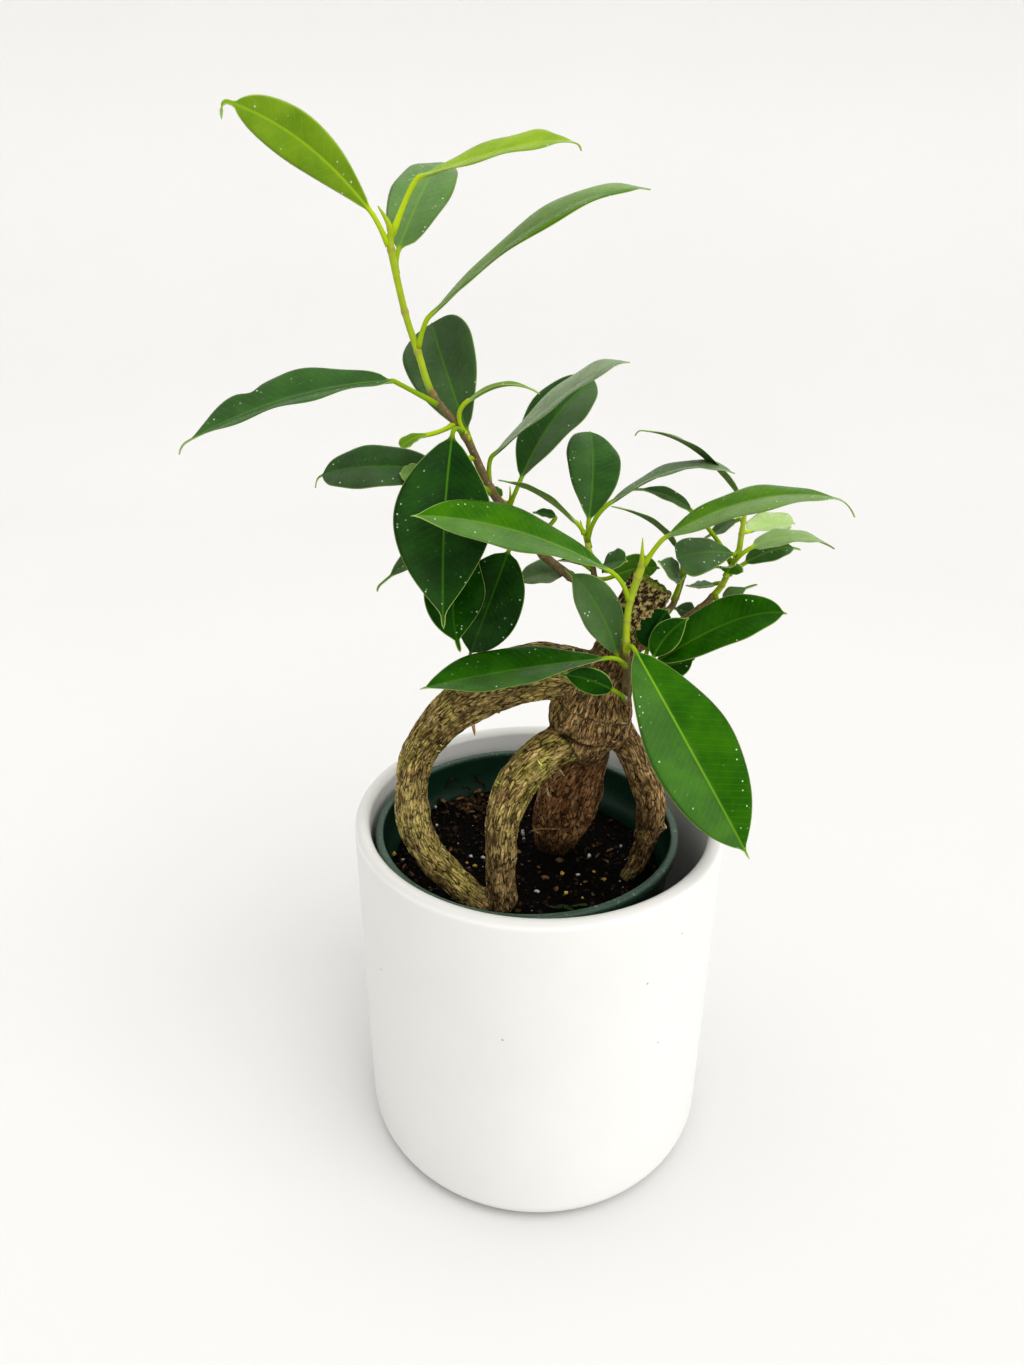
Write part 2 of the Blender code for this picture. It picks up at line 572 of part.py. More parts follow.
    low = "low_right_shoot"
    leaf(1, low, 1.1, (35, -13.5, 188), (56.5, -14, 202), (72.5, -14.5, 205), 17, (-0.45, -0.55, 0.7))
    leaf(2, low, 1.5, (33, -15.2, 192.5), (34.8, -14.8, 198.3), (38.5, -13.3, 204), 11, (-0.2, -0.9, 0.3))
    leaf(3, low, 1.5, (34.5, -12.6, 191.5), (38, -10.5, 196.7), (43, -9, 200.5), 9, (-0.25, -0.85, 0.4))
    leaf(4, low, 0.8, (35, -11.5, 186), (41.5, -9.5, 186), (48, -7, 187), 9.5, (0, -0.75, 0.6))


clear_scene()
make_cachepot()
make_nursery_pot()
make_rootstock()
make_soil()
make_shoots()
make_leaves()
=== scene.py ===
"""A small ginseng ficus in its two pots: the finishes, the fine shapes, the floor, the light and the camera.
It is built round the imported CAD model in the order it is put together: cover pot, nursery pot, potting mix,
rootstock, shoots, leaves. Lengths are in millimetres until a mesh is made; the origin is the middle of the
cover pot's underside, +Z is up and the viewer stands at -Y."""

import json
import math
import random

import bmesh
import bpy
import numpy as np
from mathutils import Matrix, Vector, noise

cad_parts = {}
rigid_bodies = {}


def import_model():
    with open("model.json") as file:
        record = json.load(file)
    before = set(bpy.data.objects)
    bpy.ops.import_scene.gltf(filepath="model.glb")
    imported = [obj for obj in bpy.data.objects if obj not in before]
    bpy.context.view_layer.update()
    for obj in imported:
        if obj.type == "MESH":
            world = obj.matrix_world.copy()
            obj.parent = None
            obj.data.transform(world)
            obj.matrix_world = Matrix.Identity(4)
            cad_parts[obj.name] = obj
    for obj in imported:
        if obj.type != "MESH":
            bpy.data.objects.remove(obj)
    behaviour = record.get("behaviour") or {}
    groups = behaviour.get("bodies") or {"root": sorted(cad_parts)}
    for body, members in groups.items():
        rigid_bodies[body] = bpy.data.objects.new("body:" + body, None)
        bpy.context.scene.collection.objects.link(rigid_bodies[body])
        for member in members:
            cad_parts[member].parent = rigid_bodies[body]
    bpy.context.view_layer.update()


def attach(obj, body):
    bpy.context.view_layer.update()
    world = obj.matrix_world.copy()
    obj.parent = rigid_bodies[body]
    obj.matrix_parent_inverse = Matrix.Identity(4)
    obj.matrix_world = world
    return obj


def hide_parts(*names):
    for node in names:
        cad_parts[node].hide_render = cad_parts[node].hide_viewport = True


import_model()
MM = 0.001


# The cover pot is one slip-cast stoneware cylinder, dipped in satin white glaze inside and out. The glaze is
# wiped off the foot before firing, which leaves a thin beige ring where the pot meets the table.
POT_RADIUS = 63.5
POT_HEIGHT = 127.0
POT_WALL = 5.1
POT_FLOOR = 8.0
POT_FOOT_ROUND = 7.0
POT_LIP_ROUND = 2.5
BARE_FOOT = 1.3


def arc(r, z, radius, start, end, count):
    """Profile points on an arc about (r, z), from one angle to another in degrees."""
    turns = np.radians(np.linspace(start, end, count + 1))
    return [(r + radius * math.cos(a), z + radius * math.sin(a)) for a in turns]


def skin_over(rings, ends=(None, None)):
    """Points and faces of a closed skin over rings that all have the same number of points. ends are the tips
    that the first and the last ring close to, or None for a flat end."""
    count, sides = len(rings), len(rings[0])
    points, faces = list(np.concatenate(rings)), []
    for a in range(0, (count - 1) * sides, sides):
        b = a + sides
        faces += [(a + k, a + (k + 1) % sides, b + (k + 1) % sides, b + k) for k in range(sides)]
    for tip, first, order in ((ends[0], 0, -1), (ends[1], (count - 1) * sides, 1)):
        if tip is None:
            faces.append(tuple(range(first, first + sides))[::order])
        else:
            points.append(tip)
            faces += [(first + k, first + (k + 1) % sides, len(points) - 1)[::order] for k in range(sides)]
    return np.array(points), faces


def turn_on_wheel(profile, steps, centre=(0.0, 0.0)):
    """Points and faces of a profile of (radius, height), turned about a vertical axis from axis to axis."""
    turns = -np.linspace(0, math.tau, steps, endpoint=False)
    ring = np.stack([np.cos(turns), np.sin(turns), 0 * turns], axis=1)
    rings = [r * ring + (*centre, z) for r, z in profile[1:-1]]
    return skin_over(rings, [(*centre, profile[0][1]), (*centre, profile[-1][1])])


def make_piece(name, points, faces, finish, slot, stands_for=(), values=None, chart=None):
    """A smooth mesh piece from points in millimetres. values are numbers per point that its finish reads, and
    chart is a flat place per point."""
    mesh = bpy.data.meshes.new(name)
    mesh.from_pydata(np.asarray(points) * MM, [], faces)
    mesh.shade_smooth()
    for key, numbers in (values or {}).items():
        mesh.attributes.new(key, "FLOAT", "POINT").data.foreach_set("value", np.asarray(numbers, np.float32))
    if chart is not None:
        corner = np.empty(len(mesh.loops), np.int32)
        mesh.loops.foreach_get("vertex_index", corner)
        mesh.uv_layers.new(name="chart").data.foreach_set("uv", np.asarray(chart, np.float32)[corner].ravel())
    mesh.materials.append(finish)
    piece = bpy.data.objects.new(name, mesh)
    bpy.context.scene.collection.objects.link(piece)
    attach(piece, "root")
    if stands_for:
        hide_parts(*stands_for)
    return piece


class Nodes:
    """The shader nodes of one finish or of the room: each method adds a node and gives back its output."""

    def __init__(self, tree):
        self.tree = tree

    def put(self, kind, inputs, **settings):
        """inputs gives each socket of the node a value or the output of another node."""
        added = self.tree.nodes.new("ShaderNode" + kind)
        for key, value in settings.items():
            setattr(added, key, value)
        for key, value in inputs.items():
            self.plug(value, added.inputs[key])
        return added

    def plug(self, value, socket):
        if isinstance(value, bpy.types.NodeSocket):
            self.tree.links.new(value, socket)
        else:
            socket.default_value = value

    def between(self, value, low, high, to_low=0.0, to_high=1.0):
        """A smooth step of value from low to high."""
        inputs = {"Value": value, "From Min": low, "From Max": high, "To Min": to_low, "To Max": to_high}
        return self.put("MapRange", inputs, interpolation_type="SMOOTHSTEP").outputs["Result"]

    def sum_up(self, how, first, second=0.0, third=0.0):
        return self.put("Math", {0: first, 1: second, 2: third}, operation=how).outputs[0]

    def times(self, first, second):
        return self.sum_up("MULTIPLY", first, second)

    def plus(self, first, second):
        return self.sum_up("ADD", first, second)

    def larger(self, first, second):
        return self.sum_up("MAXIMUM", first, second)

    def scaled(self, value, by, start):
        """value times by, added to start."""
        return self.sum_up("MULTIPLY_ADD", value, by, start)

    def mixed(self, share, first, second):
        """Colour first turned into colour second by share."""
        first, second = (c if isinstance(c, bpy.types.NodeSocket) else (*c, 1.0) for c in (first, second))
        return self.put("Mix", {0: share, 6: first, 7: second}, data_type="RGBA").outputs[2]


class Finish(Nodes):
    """A finish in the making. spot is the point being shaded, in metres, as the mesh has it."""

    def __init__(self, name, roughness, specular=0.5):
        self.made = bpy.data.materials.new(name)
        self.made.use_nodes = True
        super().__init__(self.made.node_tree)
        self.shader = self.tree.nodes["Principled BSDF"]
        self.shader.inputs["Roughness"].default_value = roughness
        self.shader.inputs["Specular IOR Level"].default_value = specular
        self.spot = self.put("TexCoord", {}).outputs["Object"]

    def axis(self, letter):
        return self.put("SeparateXYZ", {"Vector": self.spot}).outputs[letter]

    def cloudy(self, size, detail=3.0, rough=0.5):
        """Noise from 0 to 1 whose patches are about size millimetres across."""
        inputs = {"Vector": self.spot, "Scale": 1 / (size * MM), "Detail": detail, "Roughness": rough}
        return self.put("TexNoise", inputs).outputs["Fac"]

    def dots(self, size):
        """How far off the nearest dot is, when dots lie about size millimetres apart."""
        inputs = {"Vector": self.spot, "Scale": 1 / (size * MM)}
        return self.put("TexVoronoi", inputs, feature="F1").outputs["Distance"]

    def told(self, key):
        """The numbers that make_piece gave to the mesh's points under key."""
        return self.put("Attribute", {}, attribute_name=key).outputs["Fac"]

    def coat(self, share, colour, most=1.0):
        """Lays a colour over what is there, by share times most."""
        share = share if most == 1.0 else self.times(share, most)
        self.colour = self.mixed(share, self.colour, colour)

    def dress(self, roughness, height, depth):
        """The finished material. height is a height map whose full range is depth millimetres."""
        bump = self.put("Bump", {"Height": height, "Strength": 1.0, "Distance": depth * MM})
        self.plug(self.colour, self.shader.inputs["Base Color"])
        self.plug(roughness, self.shader.inputs["Roughness"])
        self.plug(bump.outputs["Normal"], self.shader.inputs["Normal"])
        return self.made


def satin_glaze():
    glaze = Finish("satin_white_glaze", 0.35)
    cloud, height = glaze.cloudy(30), glaze.axis("Z")
    shaded_lip = glaze.between(height, (POT_HEIGHT - 1.6) * MM, (POT_HEIGHT - 0.3) * MM)
    bare = glaze.between(height, (BARE_FOOT + 0.25) * MM, (BARE_FOOT - 0.25) * MM)
    glaze.colour = glaze.mixed(cloud, (0.80, 0.79, 0.765), (0.85, 0.84, 0.82))
    glaze.coat(glaze.between(glaze.dots(15), 0.034, 0.018), (0.30, 0.27, 0.22), 0.7)
    # Painted shade: the top of the lip is painted grey, darker than the wall below it.
    glaze.coat(shaded_lip, (0.58, 0.575, 0.545), 0.75)
    glaze.coat(bare, (0.50, 0.41, 0.29))
    rough = glaze.scaled(bare, 0.45, glaze.between(cloud, 0.2, 0.8, 0.30, 0.40))
    return glaze.dress(rough, glaze.plus(glaze.cloudy(9, 2), glaze.cloudy(1.4, 1)), 0.035)


pot_inside = POT_RADIUS - POT_WALL
pot_profile = [(0, POT_FLOOR), (30, POT_FLOOR), (50, POT_FLOOR)]
pot_profile += arc(pot_inside - 6, POT_FLOOR + 6, 6, -90, 0, 8)
pot_profile += [(pot_inside, z) for z in (40, 70, 100)]
pot_profile += arc(pot_inside + POT_LIP_ROUND, POT_HEIGHT - POT_LIP_ROUND, POT_LIP_ROUND, 180, 90, 8)
pot_profile += arc(POT_RADIUS - POT_LIP_ROUND, POT_HEIGHT - POT_LIP_ROUND, POT_LIP_ROUND, 90, 0, 8)
pot_profile += [(POT_RADIUS, z) for z in (100, 75, 50, 30)]
pot_profile += arc(POT_RADIUS - POT_FOOT_ROUND, POT_FOOT_ROUND + 0.4, POT_FOOT_ROUND, 0, -62, 9)
pot_profile += [(59.2, BARE_FOOT), (58.6, 0.9), (58.0, 0.35), (57.2, 0), (50, 0), (25, 0), (0, 0)]
points, faces = turn_on_wheel(pot_profile, 192)
make_piece("cover_pot", points, faces, satin_glaze(), "white_glaze", ["cachepot"])


# The nursery pot is injection-moulded polypropylene: a thin taper with a rolled rim and drain holes. Its rim
# is scuffed pale from handling, and its rounded top carries a painted highlight of lighter green; it stands a
# little to the left in the cover pot.
NURSERY_CENTRE = (-4.1, -1.1)
NURSERY_RIM_RADIUS = 52.5
NURSERY_RIM_TOP = 121.6
NURSERY_RIM_WIDE = 2.7
NURSERY_RIM_DEEP = 4.0
NURSERY_BASE_RADIUS = 38.5
NURSERY_WALL = 1.1
NURSERY_FOOT = POT_FLOOR + 0.3
DRAIN_HOLES = 6
DRAIN_RADIUS = 4.0
DRAIN_CIRCLE = 26.0


def nursery_wall(z):
    """Outer radius of the nursery pot's tapered wall at a height."""
    top = NURSERY_RIM_TOP - NURSERY_RIM_DEEP
    wide = NURSERY_RIM_RADIUS - NURSERY_RIM_WIDE + NURSERY_WALL
    return NURSERY_BASE_RADIUS + (wide - NURSERY_BASE_RADIUS) * (z - NURSERY_FOOT) / (top - NURSERY_FOOT)


def green_moulding():
    plastic = Finish("green_polypropylene", 0.4)
    worn = plastic.between(plastic.cloudy(1.1, 6, 0.75), 0.56, 0.72)
    on_rim = plastic.between(plastic.axis("Z"), (NURSERY_RIM_TOP - 2.0) * MM, (NURSERY_RIM_TOP - 0.4) * MM)
    plastic.colour = plastic.mixed(plastic.cloudy(12, 4), (0.003, 0.024, 0.012), (0.006, 0.042, 0.022))
    # Painted highlight: the rounded top of the rim is painted a lighter green; the pale scuffs are wear.
    plastic.coat(on_rim, (0.045, 0.085, 0.058))
    plastic.coat(plastic.times(worn, plastic.scaled(on_rim, 0.75, 0.04)), (0.42, 0.47, 0.40))
    return plastic.dress(plastic.scaled(worn, 0.2, 0.34), plastic.plus(worn, plastic.cloudy(0.8)), 0.05)


rim, rim_top, under_rim = NURSERY_RIM_RADIUS, NURSERY_RIM_TOP, NURSERY_RIM_TOP - NURSERY_RIM_DEEP
rim_inside = rim - NURSERY_RIM_WIDE
nursery_profile = [(0, NURSERY_FOOT + 1.2), (nursery_wall(NURSERY_FOOT + 3) - 4, NURSERY_FOOT + 1.2)]
nursery_profile += [(nursery_wall(z) - NURSERY_WALL, z) for z in (NURSERY_FOOT + 3, 40, 70, 100, 107.6)]
nursery_profile += [(nursery_wall(108) - NURSERY_WALL + 0.5, 108), (rim_inside - 0.3, 113)]
nursery_profile += [(rim_inside - 0.1, 113.4)]
nursery_profile += arc(rim_inside + 0.9, rim_top - 0.9, 0.9, 180, 90, 4)
nursery_profile += arc(rim - 0.9, rim_top - 0.9, 0.9, 90, 0, 4)
nursery_profile += [(rim - 0.1, rim_top - 2.5), (rim - 0.3, under_rim), (rim - 0.9, under_rim - 0.1)]
nursery_profile += [(nursery_wall(z), z) for z in (under_rim - 0.3, 90, 60, 30, NURSERY_FOOT + 2)]
nursery_profile += [(nursery_wall(NURSERY_FOOT) - 1.5, NURSERY_FOOT), (0, NURSERY_FOOT)]
points, faces = turn_on_wheel(nursery_profile, 144, NURSERY_CENTRE)
moulding = green_moulding()
nursery = make_piece("nursery_pot_moulding", points, faces, moulding, "green_plastic", ["nursery_pot"])
for i in range(DRAIN_HOLES):
    a = math.tau * i / DRAIN_HOLES
    middle = (NURSERY_CENTRE[0] + DRAIN_CIRCLE * math.cos(a), NURSERY_CENTRE[1] + DRAIN_CIRCLE * math.sin(a))
    low, high = NURSERY_FOOT - 3, NURSERY_FOOT + 4
    punch_profile = [(0, high), (DRAIN_RADIUS, high), (DRAIN_RADIUS, low), (0, low)]
    points, faces = turn_on_wheel(punch_profile, 32, middle)
    punch_mesh = bpy.data.meshes.new("drain_punch")
    punch_mesh.from_pydata(points * MM, [], faces)
    punch = bpy.data.objects.new("drain_punch", punch_mesh)
    bpy.context.scene.collection.objects.link(punch)
    hole = nursery.modifiers.new("drain", "BOOLEAN")
    hole.operation, hole.solver, hole.object = "DIFFERENCE", "EXACT", punch
bpy.context.view_layer.update()
moulded = nursery.evaluated_get(bpy.context.evaluated_depsgraph_get())
nursery.data = bpy.data.meshes.new_from_object(moulded)
nursery.modifiers.clear()
for punch in [o for o in bpy.data.objects if o.name.startswith("drain_punch")]:
    bpy.data.objects.remove(punch)


# The potting mix is peat with fine bark, filled to 20 mm below the nursery pot's rim and drawn up the wall at
# the back left. Roots go down into it.
SOIL_TOP = 101.6
SOIL_CROWN = 0.8
SOIL_EDGE = nursery_wall(SOIL_TOP) - NURSERY_WALL - 0.1
SOIL_BASE = NURSERY_FOOT + 1.5
SOIL_RINGS, SOIL_SPOKES = 110, 380
# Where each root enters, with its radius there: the mix is heaped against it
ROOT_FEET = ((6.0, 8.6, 7.4), (-17.5, -24.6, 5.0), (-11.3, -24.5, 5.2), (35.0, -2.0, 3.8))
random.seed(11)


def soil_height(x, y):
    """Height of the soil's surface, without its crumbs."""
    dx, dy = x - NURSERY_CENTRE[0], y - NURSERY_CENTRE[1]
    out = min(math.hypot(dx, dy) / SOIL_EDGE, 1.0)
    to_back_left = max(0.0, math.cos(math.atan2(dy, dx) - math.radians(128)))
    drawn_up = 11 * to_back_left**3 * max(0, out - 0.45) ** 1.5
    lumps = 1.3 * noise.noise(Vector((x / 9, y / 9, 3.0)))
    heaps = (2.4 * math.exp(-((max(0.0, math.hypot(x - a, y - b) - r) / 3.0) ** 2)) for a, b, r in ROOT_FEET)
    return SOIL_TOP + SOIL_CROWN * (1 - out**2) + drawn_up + lumps + max(heaps)


def crumbs(x, y):
    at = Vector((x, y, 0.0))
    return 1.3 * abs(noise.noise(at / 2.4)) + 0.8 * abs(noise.noise(at / 1.1)) + 0.3 * noise.noise(at / 0.6)


def damp_peat():
    peat = Finish("damp_peat", 0.9, 0.2)
    fine = peat.cloudy(1.6, 6, 0.7)
    peat.colour = peat.mixed(peat.between(fine, 0.45, 0.75), (0.0012, 0.0010, 0.0008), (0.016, 0.010, 0.006))
    peat.coat(peat.between(peat.cloudy(0.7, 4, 0.75), 0.66, 0.72), (0.14, 0.085, 0.045), 0.5)
    return peat.dress(peat.between(fine, 0.3, 0.7, 0.8, 0.98), fine, 0.6)


def soil_ring(r, half_step=0.0):
    turns = math.tau * (np.arange(SOIL_SPOKES) + half_step) / SOIL_SPOKES
    return [(NURSERY_CENTRE[0] + r * math.cos(a), NURSERY_CENTRE[1] + r * math.sin(a)) for a in turns]


below = ((30, SOIL_BASE), (nursery_wall(SOIL_BASE + 3) - 1.4, SOIL_BASE + 3), (nursery_wall(60) - 1.4, 60))
rings = [[(x, y, z) for x, y in soil_ring(r)] for r, z in below]
for i in range(SOIL_RINGS, 0, -1):
    lumpy = 0.3 if i == SOIL_RINGS else 1.0
    places = soil_ring(SOIL_EDGE * (i / SOIL_RINGS) ** 0.75, 0.5 * (i % 2))
    rings.append([(x, y, soil_height(x, y) + crumbs(x, y) * lumpy) for x, y in places])
ends = [(*NURSERY_CENTRE, SOIL_BASE), (*NURSERY_CENTRE, soil_height(*NURSERY_CENTRE))]
points, faces = skin_over(rings, ends)
make_piece("potting_mix_fill", points, faces, damp_peat(), "potting_mix", ["potting_mix"])


# Loose bits lie on the mix: crumbs of composted bark, chips of wood, puffed perlite, slow feed grains and one
# torn bit of leaf. All are small and irregular, pressed a little into the surface.
NO_BITS = tuple((x, y, r + 0.5) for x, y, r in ROOT_FEET)


def bits(name, finish, placed):
    """One mesh of many irregular grains. Each is (x, y, lift, (length, width, height), turn in degrees)."""
    joined = bmesh.new()
    for number, (x, y, lift, size, turn) in enumerate(placed):
        made = bmesh.ops.create_icosphere(joined, subdivisions=2, radius=0.5)
        lie = Matrix.Rotation(math.radians(turn), 3, "Z") @ Matrix.Rotation(random.uniform(-0.4, 0.4), 3, "X")
        rest = Vector((x, y, soil_height(x, y) + 0.55 + lift + size[2] * 0.2))
        for vert in made["verts"]:
            knock = noise.noise(vert.co * 2.6 + Vector((number * 3.7, 0, 0)))
            knock += 0.6 * noise.noise(vert.co * 6 + Vector((0, number * 2.9, 0)))
            grain = vert.co * (1 + 0.55 * knock)
            vert.co = lie @ Vector((grain.x * size[0], grain.y * size[1], grain.z * size[2])) + rest
    points = np.array([vert.co for vert in joined.verts])
    faces = [tuple(vert.index for vert in face.verts) for face in joined.faces]
    joined.free()
    make_piece(name, points, faces, finish, "potting_mix")


def scattered(count, small, large, flat=0.8, near=None):
    """Random places for grains, clear of the roots; near is a centre and a spread for a pile."""
    placed = []
    while len(placed) < count:
        if near is None:
            turn, out = random.uniform(0, math.tau), (SOIL_EDGE - 1.5) * math.sqrt(random.random())
            x, y = NURSERY_CENTRE[0] + out * math.cos(turn), NURSERY_CENTRE[1] + out * math.sin(turn)
        else:
            x, y = random.gauss(near[0], near[2]), random.gauss(near[1], near[3])
        clear = all(math.hypot(x - a, y - b) > r for a, b, r in NO_BITS)
        if clear and math.hypot(x - NURSERY_CENTRE[0], y - NURSERY_CENTRE[1]) < SOIL_EDGE - 1.0:
            long = random.uniform(small, large) * random.uniform(0.6, 1.0)
            size = (long, long * random.uniform(0.45, 0.95), long * flat * random.uniform(0.5, 1.0))
            placed.append((x, y, random.uniform(-0.3, 0.2), size, random.uniform(0, 360)))
    return placed


def grainy(name, dark, light, size, rough=0.85):
    grain = Finish(name, rough, 0.25)
    tone = grain.between(grain.cloudy(size, 5, 0.7), 0.35, 0.65)
    grain.colour = grain.mixed(tone, dark, light)
    grain.coat(grain.between(grain.cloudy(size / 3, 3, 0.7), 0.56, 0.70), dark, 0.5)
    return grain.dress(grain.between(tone, 0, 1, rough - 0.1, rough + 0.1), grain.cloudy(size / 4, 4), 0.2)


composted = grainy("composted_bark", (0.004, 0.003, 0.002), (0.075, 0.040, 0.019), 2.2)
heaped = scattered(130, 0.8, 3.0, 0.7, (-29, 37.5, 7.5, 4.5)) + scattered(60, 0.7, 2.4, 0.7, (-46, 2, 3, 9))
bits("bark_crumbs", composted, scattered(560, 0.7, 2.6) + heaped)
CHIPS = [
    (8.1, -0.5, 0.3, (3.2, 2.2, 1.2), 20), (6.5, -15.6, 0.2, (2.8, 1.6, 1.1), 60),
    (24.8, 2.6, 0.2, (2.6, 1.4, 1), 150), (26.6, 9.6, 0.2, (3.4, 1.2, 0.9), 35),
    (-31.9, 6.4, 0.3, (2.4, 1.6, 1.2), 80), (-31, 36.5, 1, (5.2, 1.3, 0.9), 28),
    (-24.5, 42, 1, (4.6, 1.5, 1), 40), (-37.6, 32.5, 0.8, (3.6, 2.4, 1.6), 110),
    (2.7, -9.6, 0.2, (3.2, 1.8, 1), 170), (-47.6, -4.8, 0.4, (3.4, 1.1, 0.8), 75),
    (-44.3, -8.2, 0.4, (3.2, 1.2, 0.9), 130), (22, 6, 0, (4.2, 0.9, 0.8), 60),
    (-27, 33, 0.6, (3, 1.2, 0.8), 160), (-34.5, 38.5, 1.2, (3.6, 1.5, 0.9), 70),
]
split_wood = grainy("split_wood", (0.040, 0.019, 0.008), (0.26, 0.15, 0.07), 1.6)
slivers = scattered(44, 0.9, 2.2, 0.5) + scattered(22, 1.2, 3.6, 0.4, (-29, 38, 6, 4))
bits("wood_chips", split_wood, CHIPS + slivers)
PUFFS = [
    (-5.7, 17.2, 0.9, (1.4, 1.1, 2.8), 0), (-5.3, 15.0, 0.2, (1.2, 1.0, 1.3), 30),
    (-19.9, 3.1, 0.3, (1.5, 1.2, 1.1), 10), (-24.3, 3.6, 0.2, (1.1, 1.6, 1), 40),
    (14.4, -6.2, 0.3, (1.5, 1.2, 1.1), 0), (18.7, 4.2, 0.4, (1.7, 1.3, 1.3), 15),
    (30.9, 13, 0.3, (1.3, 1, 1), 60), (0, -17, 0.4, (1.8, 1.3, 1.2), 5),
    (-40, 28.8, 0.8, (1.2, 0.9, 1.6), 20), (-38.7, 20.5, 0.4, (1.4, 1.1, 1), 70),
    (30.4, 33.4, 0, (0.7, 0.6, 0.5), 0), (33, 31.4, 0, (0.8, 0.6, 0.5), 0),
    (35.6, 29.3, 0, (0.7, 0.7, 0.5), 0), (-48.5, -1.2, 0.3, (1.4, 1, 0.9), 50),
    (29, -9, 0.1, (0.8, 0.7, 0.6), 0),
]
puffed = grainy("puffed_perlite", (0.42, 0.41, 0.38), (0.80, 0.79, 0.76), 0.9)
bits("perlite_grains", puffed, PUFFS + scattered(120, 0.25, 0.8))
FEED = [
    (-52.2, 1.7, 0.4, (2.4, 1.8, 1.5), 120), (-22.4, -2.5, 0.3, (1.6, 1.3, 1.1), 0),
    (-25.5, -0.5, 0.2, (1.1, 0.9, 0.8), 0), (8.7, -5.8, 0.4, (2.0, 1.4, 1.2), 100),
    (23.4, -8.7, 0.3, (1.6, 1.3, 1.1), 20), (10, -17.1, 0.3, (1.8, 1.2, 1), 30),
    (15.5, -19.5, 0.2, (1.5, 1, 0.9), 90), (20, -4.5, 0.2, (1.2, 1, 0.9), 0),
    (-9, 30, 0.2, (1.3, 1.1, 0.9), 0),
]
bits("feed_grains", grainy("feed_coating", (0.42, 0.24, 0.04), (0.72, 0.55, 0.14), 1.2, 0.5), FEED)
TORN_X = (5.5, 8, 10.5, 13, 15.5)
torn = [(x, -24 + 0.5 * math.sin(x), 0.7, (3.4, 1.6, 0.5), 20 * math.sin(x)) for x in TORN_X]
bits("leaf_crumb", grainy("torn_leaf", (0.012, 0.030, 0.006), (0.06, 0.10, 0.02), 2.0, 0.6), torn)


# The rootstock grew as one piece: a swollen head, aerial roots that arch down from it, and the cut trunk. Its
# bark is thin and corky, split lengthwise, crossed by pale pores, and green with algae on the upper sides.
LIMBS = {
    "trunk": [
        (16, -5, 158, 9.5), (16.8, -6, 168, 13.0), (19.5, -5.2, 177, 10.2), (22.7, -4.5, 185, 8.0),
        (25.3, -4, 192, 7.3), (28, -4, 198.5, 7.2), (31, -3.5, 205, 7.2), (34, -3, 210.8, 6.8),
    ],
    "head": [(14.5, -6, 159, 11.5), (16, -6, 165, 14.0), (17.5, -6, 171, 12.0)],
    "arch_root": [
        (19, -5, 180, 6.5), (7, -4, 180.4, 9.1), (-3.6, -5, 180.3, 9.6), (-13.2, -7, 177.4, 9.0),
        (-23, -9, 172, 7.9), (-32.3, -11, 164.2, 6.8), (-39.3, -13, 154, 6.0), (-41.8, -15, 141.7, 5.5),
        (-41.2, -17.5, 132.5, 5.9), (-37.6, -20, 123.4, 5.7), (-30, -23, 115, 5.2), (-20.5, -25, 106.3, 5.0),
        (-12, -23.5, 97, 4.4), (-7, -20.5, 88, 2.6),
    ],
    "middle_root": [
        (13, -8, 160, 8.0), (6, -13, 158.5, 6.8), (-2, -17.5, 154, 7.0), (-8.5, -21.5, 146, 6.6),
        (-11.5, -24, 136, 5.8), (-12, -25.5, 126, 5.2), (-11.8, -25.5, 116, 5.2), (-11.3, -24.5, 104, 5.4),
        (-9, -22, 94, 4.6), (-6, -18, 86, 2.6),
    ],
    "tap_root": [
        (16, -4, 158, 8.5), (16.5, -1.2, 148, 7.0), (13.5, 1.6, 139, 9.4), (10.5, 4.6, 127.5, 11.2),
        (7.4, 7, 116, 9.9), (6, 8.6, 106, 7.4), (6, 8.5, 94, 5.6), (7, 6, 80, 3.2),
    ],
    "right_root": [
        (21, -5, 163, 7.0), (27.8, -5.8, 157, 5.4), (32.6, -5.5, 148, 5.2), (36.6, -5, 138, 5.4),
        (38.3, -4.5, 128, 5.0), (37.6, -3.5, 117, 4.0), (35.6, -2, 106.5, 3.7), (33, 0, 96, 3.0),
        (30, 3, 88, 1.8),
    ],
    "right_foot": [
        (36.4, -3, 111, 3.4), (34.3, -5.2, 106.8, 3.4), (31.8, -6.6, 103.6, 3.0), (30.4, -7.4, 101.6, 2.4),
    ],
}
BARK_MESH = 0.52
BARK_RELAXING = 22
CUT_MIDDLE = (34, -3, 210.8)
CUT_LEAN = (3.0, 0.5, 5.8)


def grown_path(points, per_span):
    """A smooth curve through points (Catmull-Rom); a fourth value, the radius, rides along."""
    p = np.array([points[0], *points, points[-1]], float)
    path = []
    for i in range(1, len(p) - 2):
        for t in np.arange(per_span) / per_span:
            path.append(
                0.5 * (2 * p[i] + (p[i + 1] - p[i - 1]) * t
                       + (2 * p[i - 1] - 5 * p[i] + 4 * p[i + 1] - p[i + 2]) * t**2
                       + (3 * p[i] - p[i - 1] - 3 * p[i + 1] + p[i + 2]) * t**3)
            )
    return np.array([*path, p[-1]])


def round_bar(name, path):
    """A bar that follows a path of (x, y, z, radius), as a curve with a bevel."""
    curve = bpy.data.curves.new(name, "CURVE")
    curve.dimensions = "3D"
    curve.bevel_depth = MM
    curve.bevel_resolution = 8
    curve.use_fill_caps = True
    curve.twist_mode = "MINIMUM"
    spline = curve.splines.new("POLY")
    spline.points.add(len(path) - 1)
    for point, (x, y, z, radius) in zip(spline.points, path):
        point.co = (x * MM, y * MM, z * MM, 1.0)
        point.radius = radius
    bar = bpy.data.objects.new(name, curve)
    bpy.context.scene.collection.objects.link(bar)
    bpy.context.view_layer.update()
    mesh = bpy.data.meshes.new_from_object(bar.evaluated_get(bpy.context.evaluated_depsgraph_get()))
    bpy.data.objects.remove(bar)
    return mesh


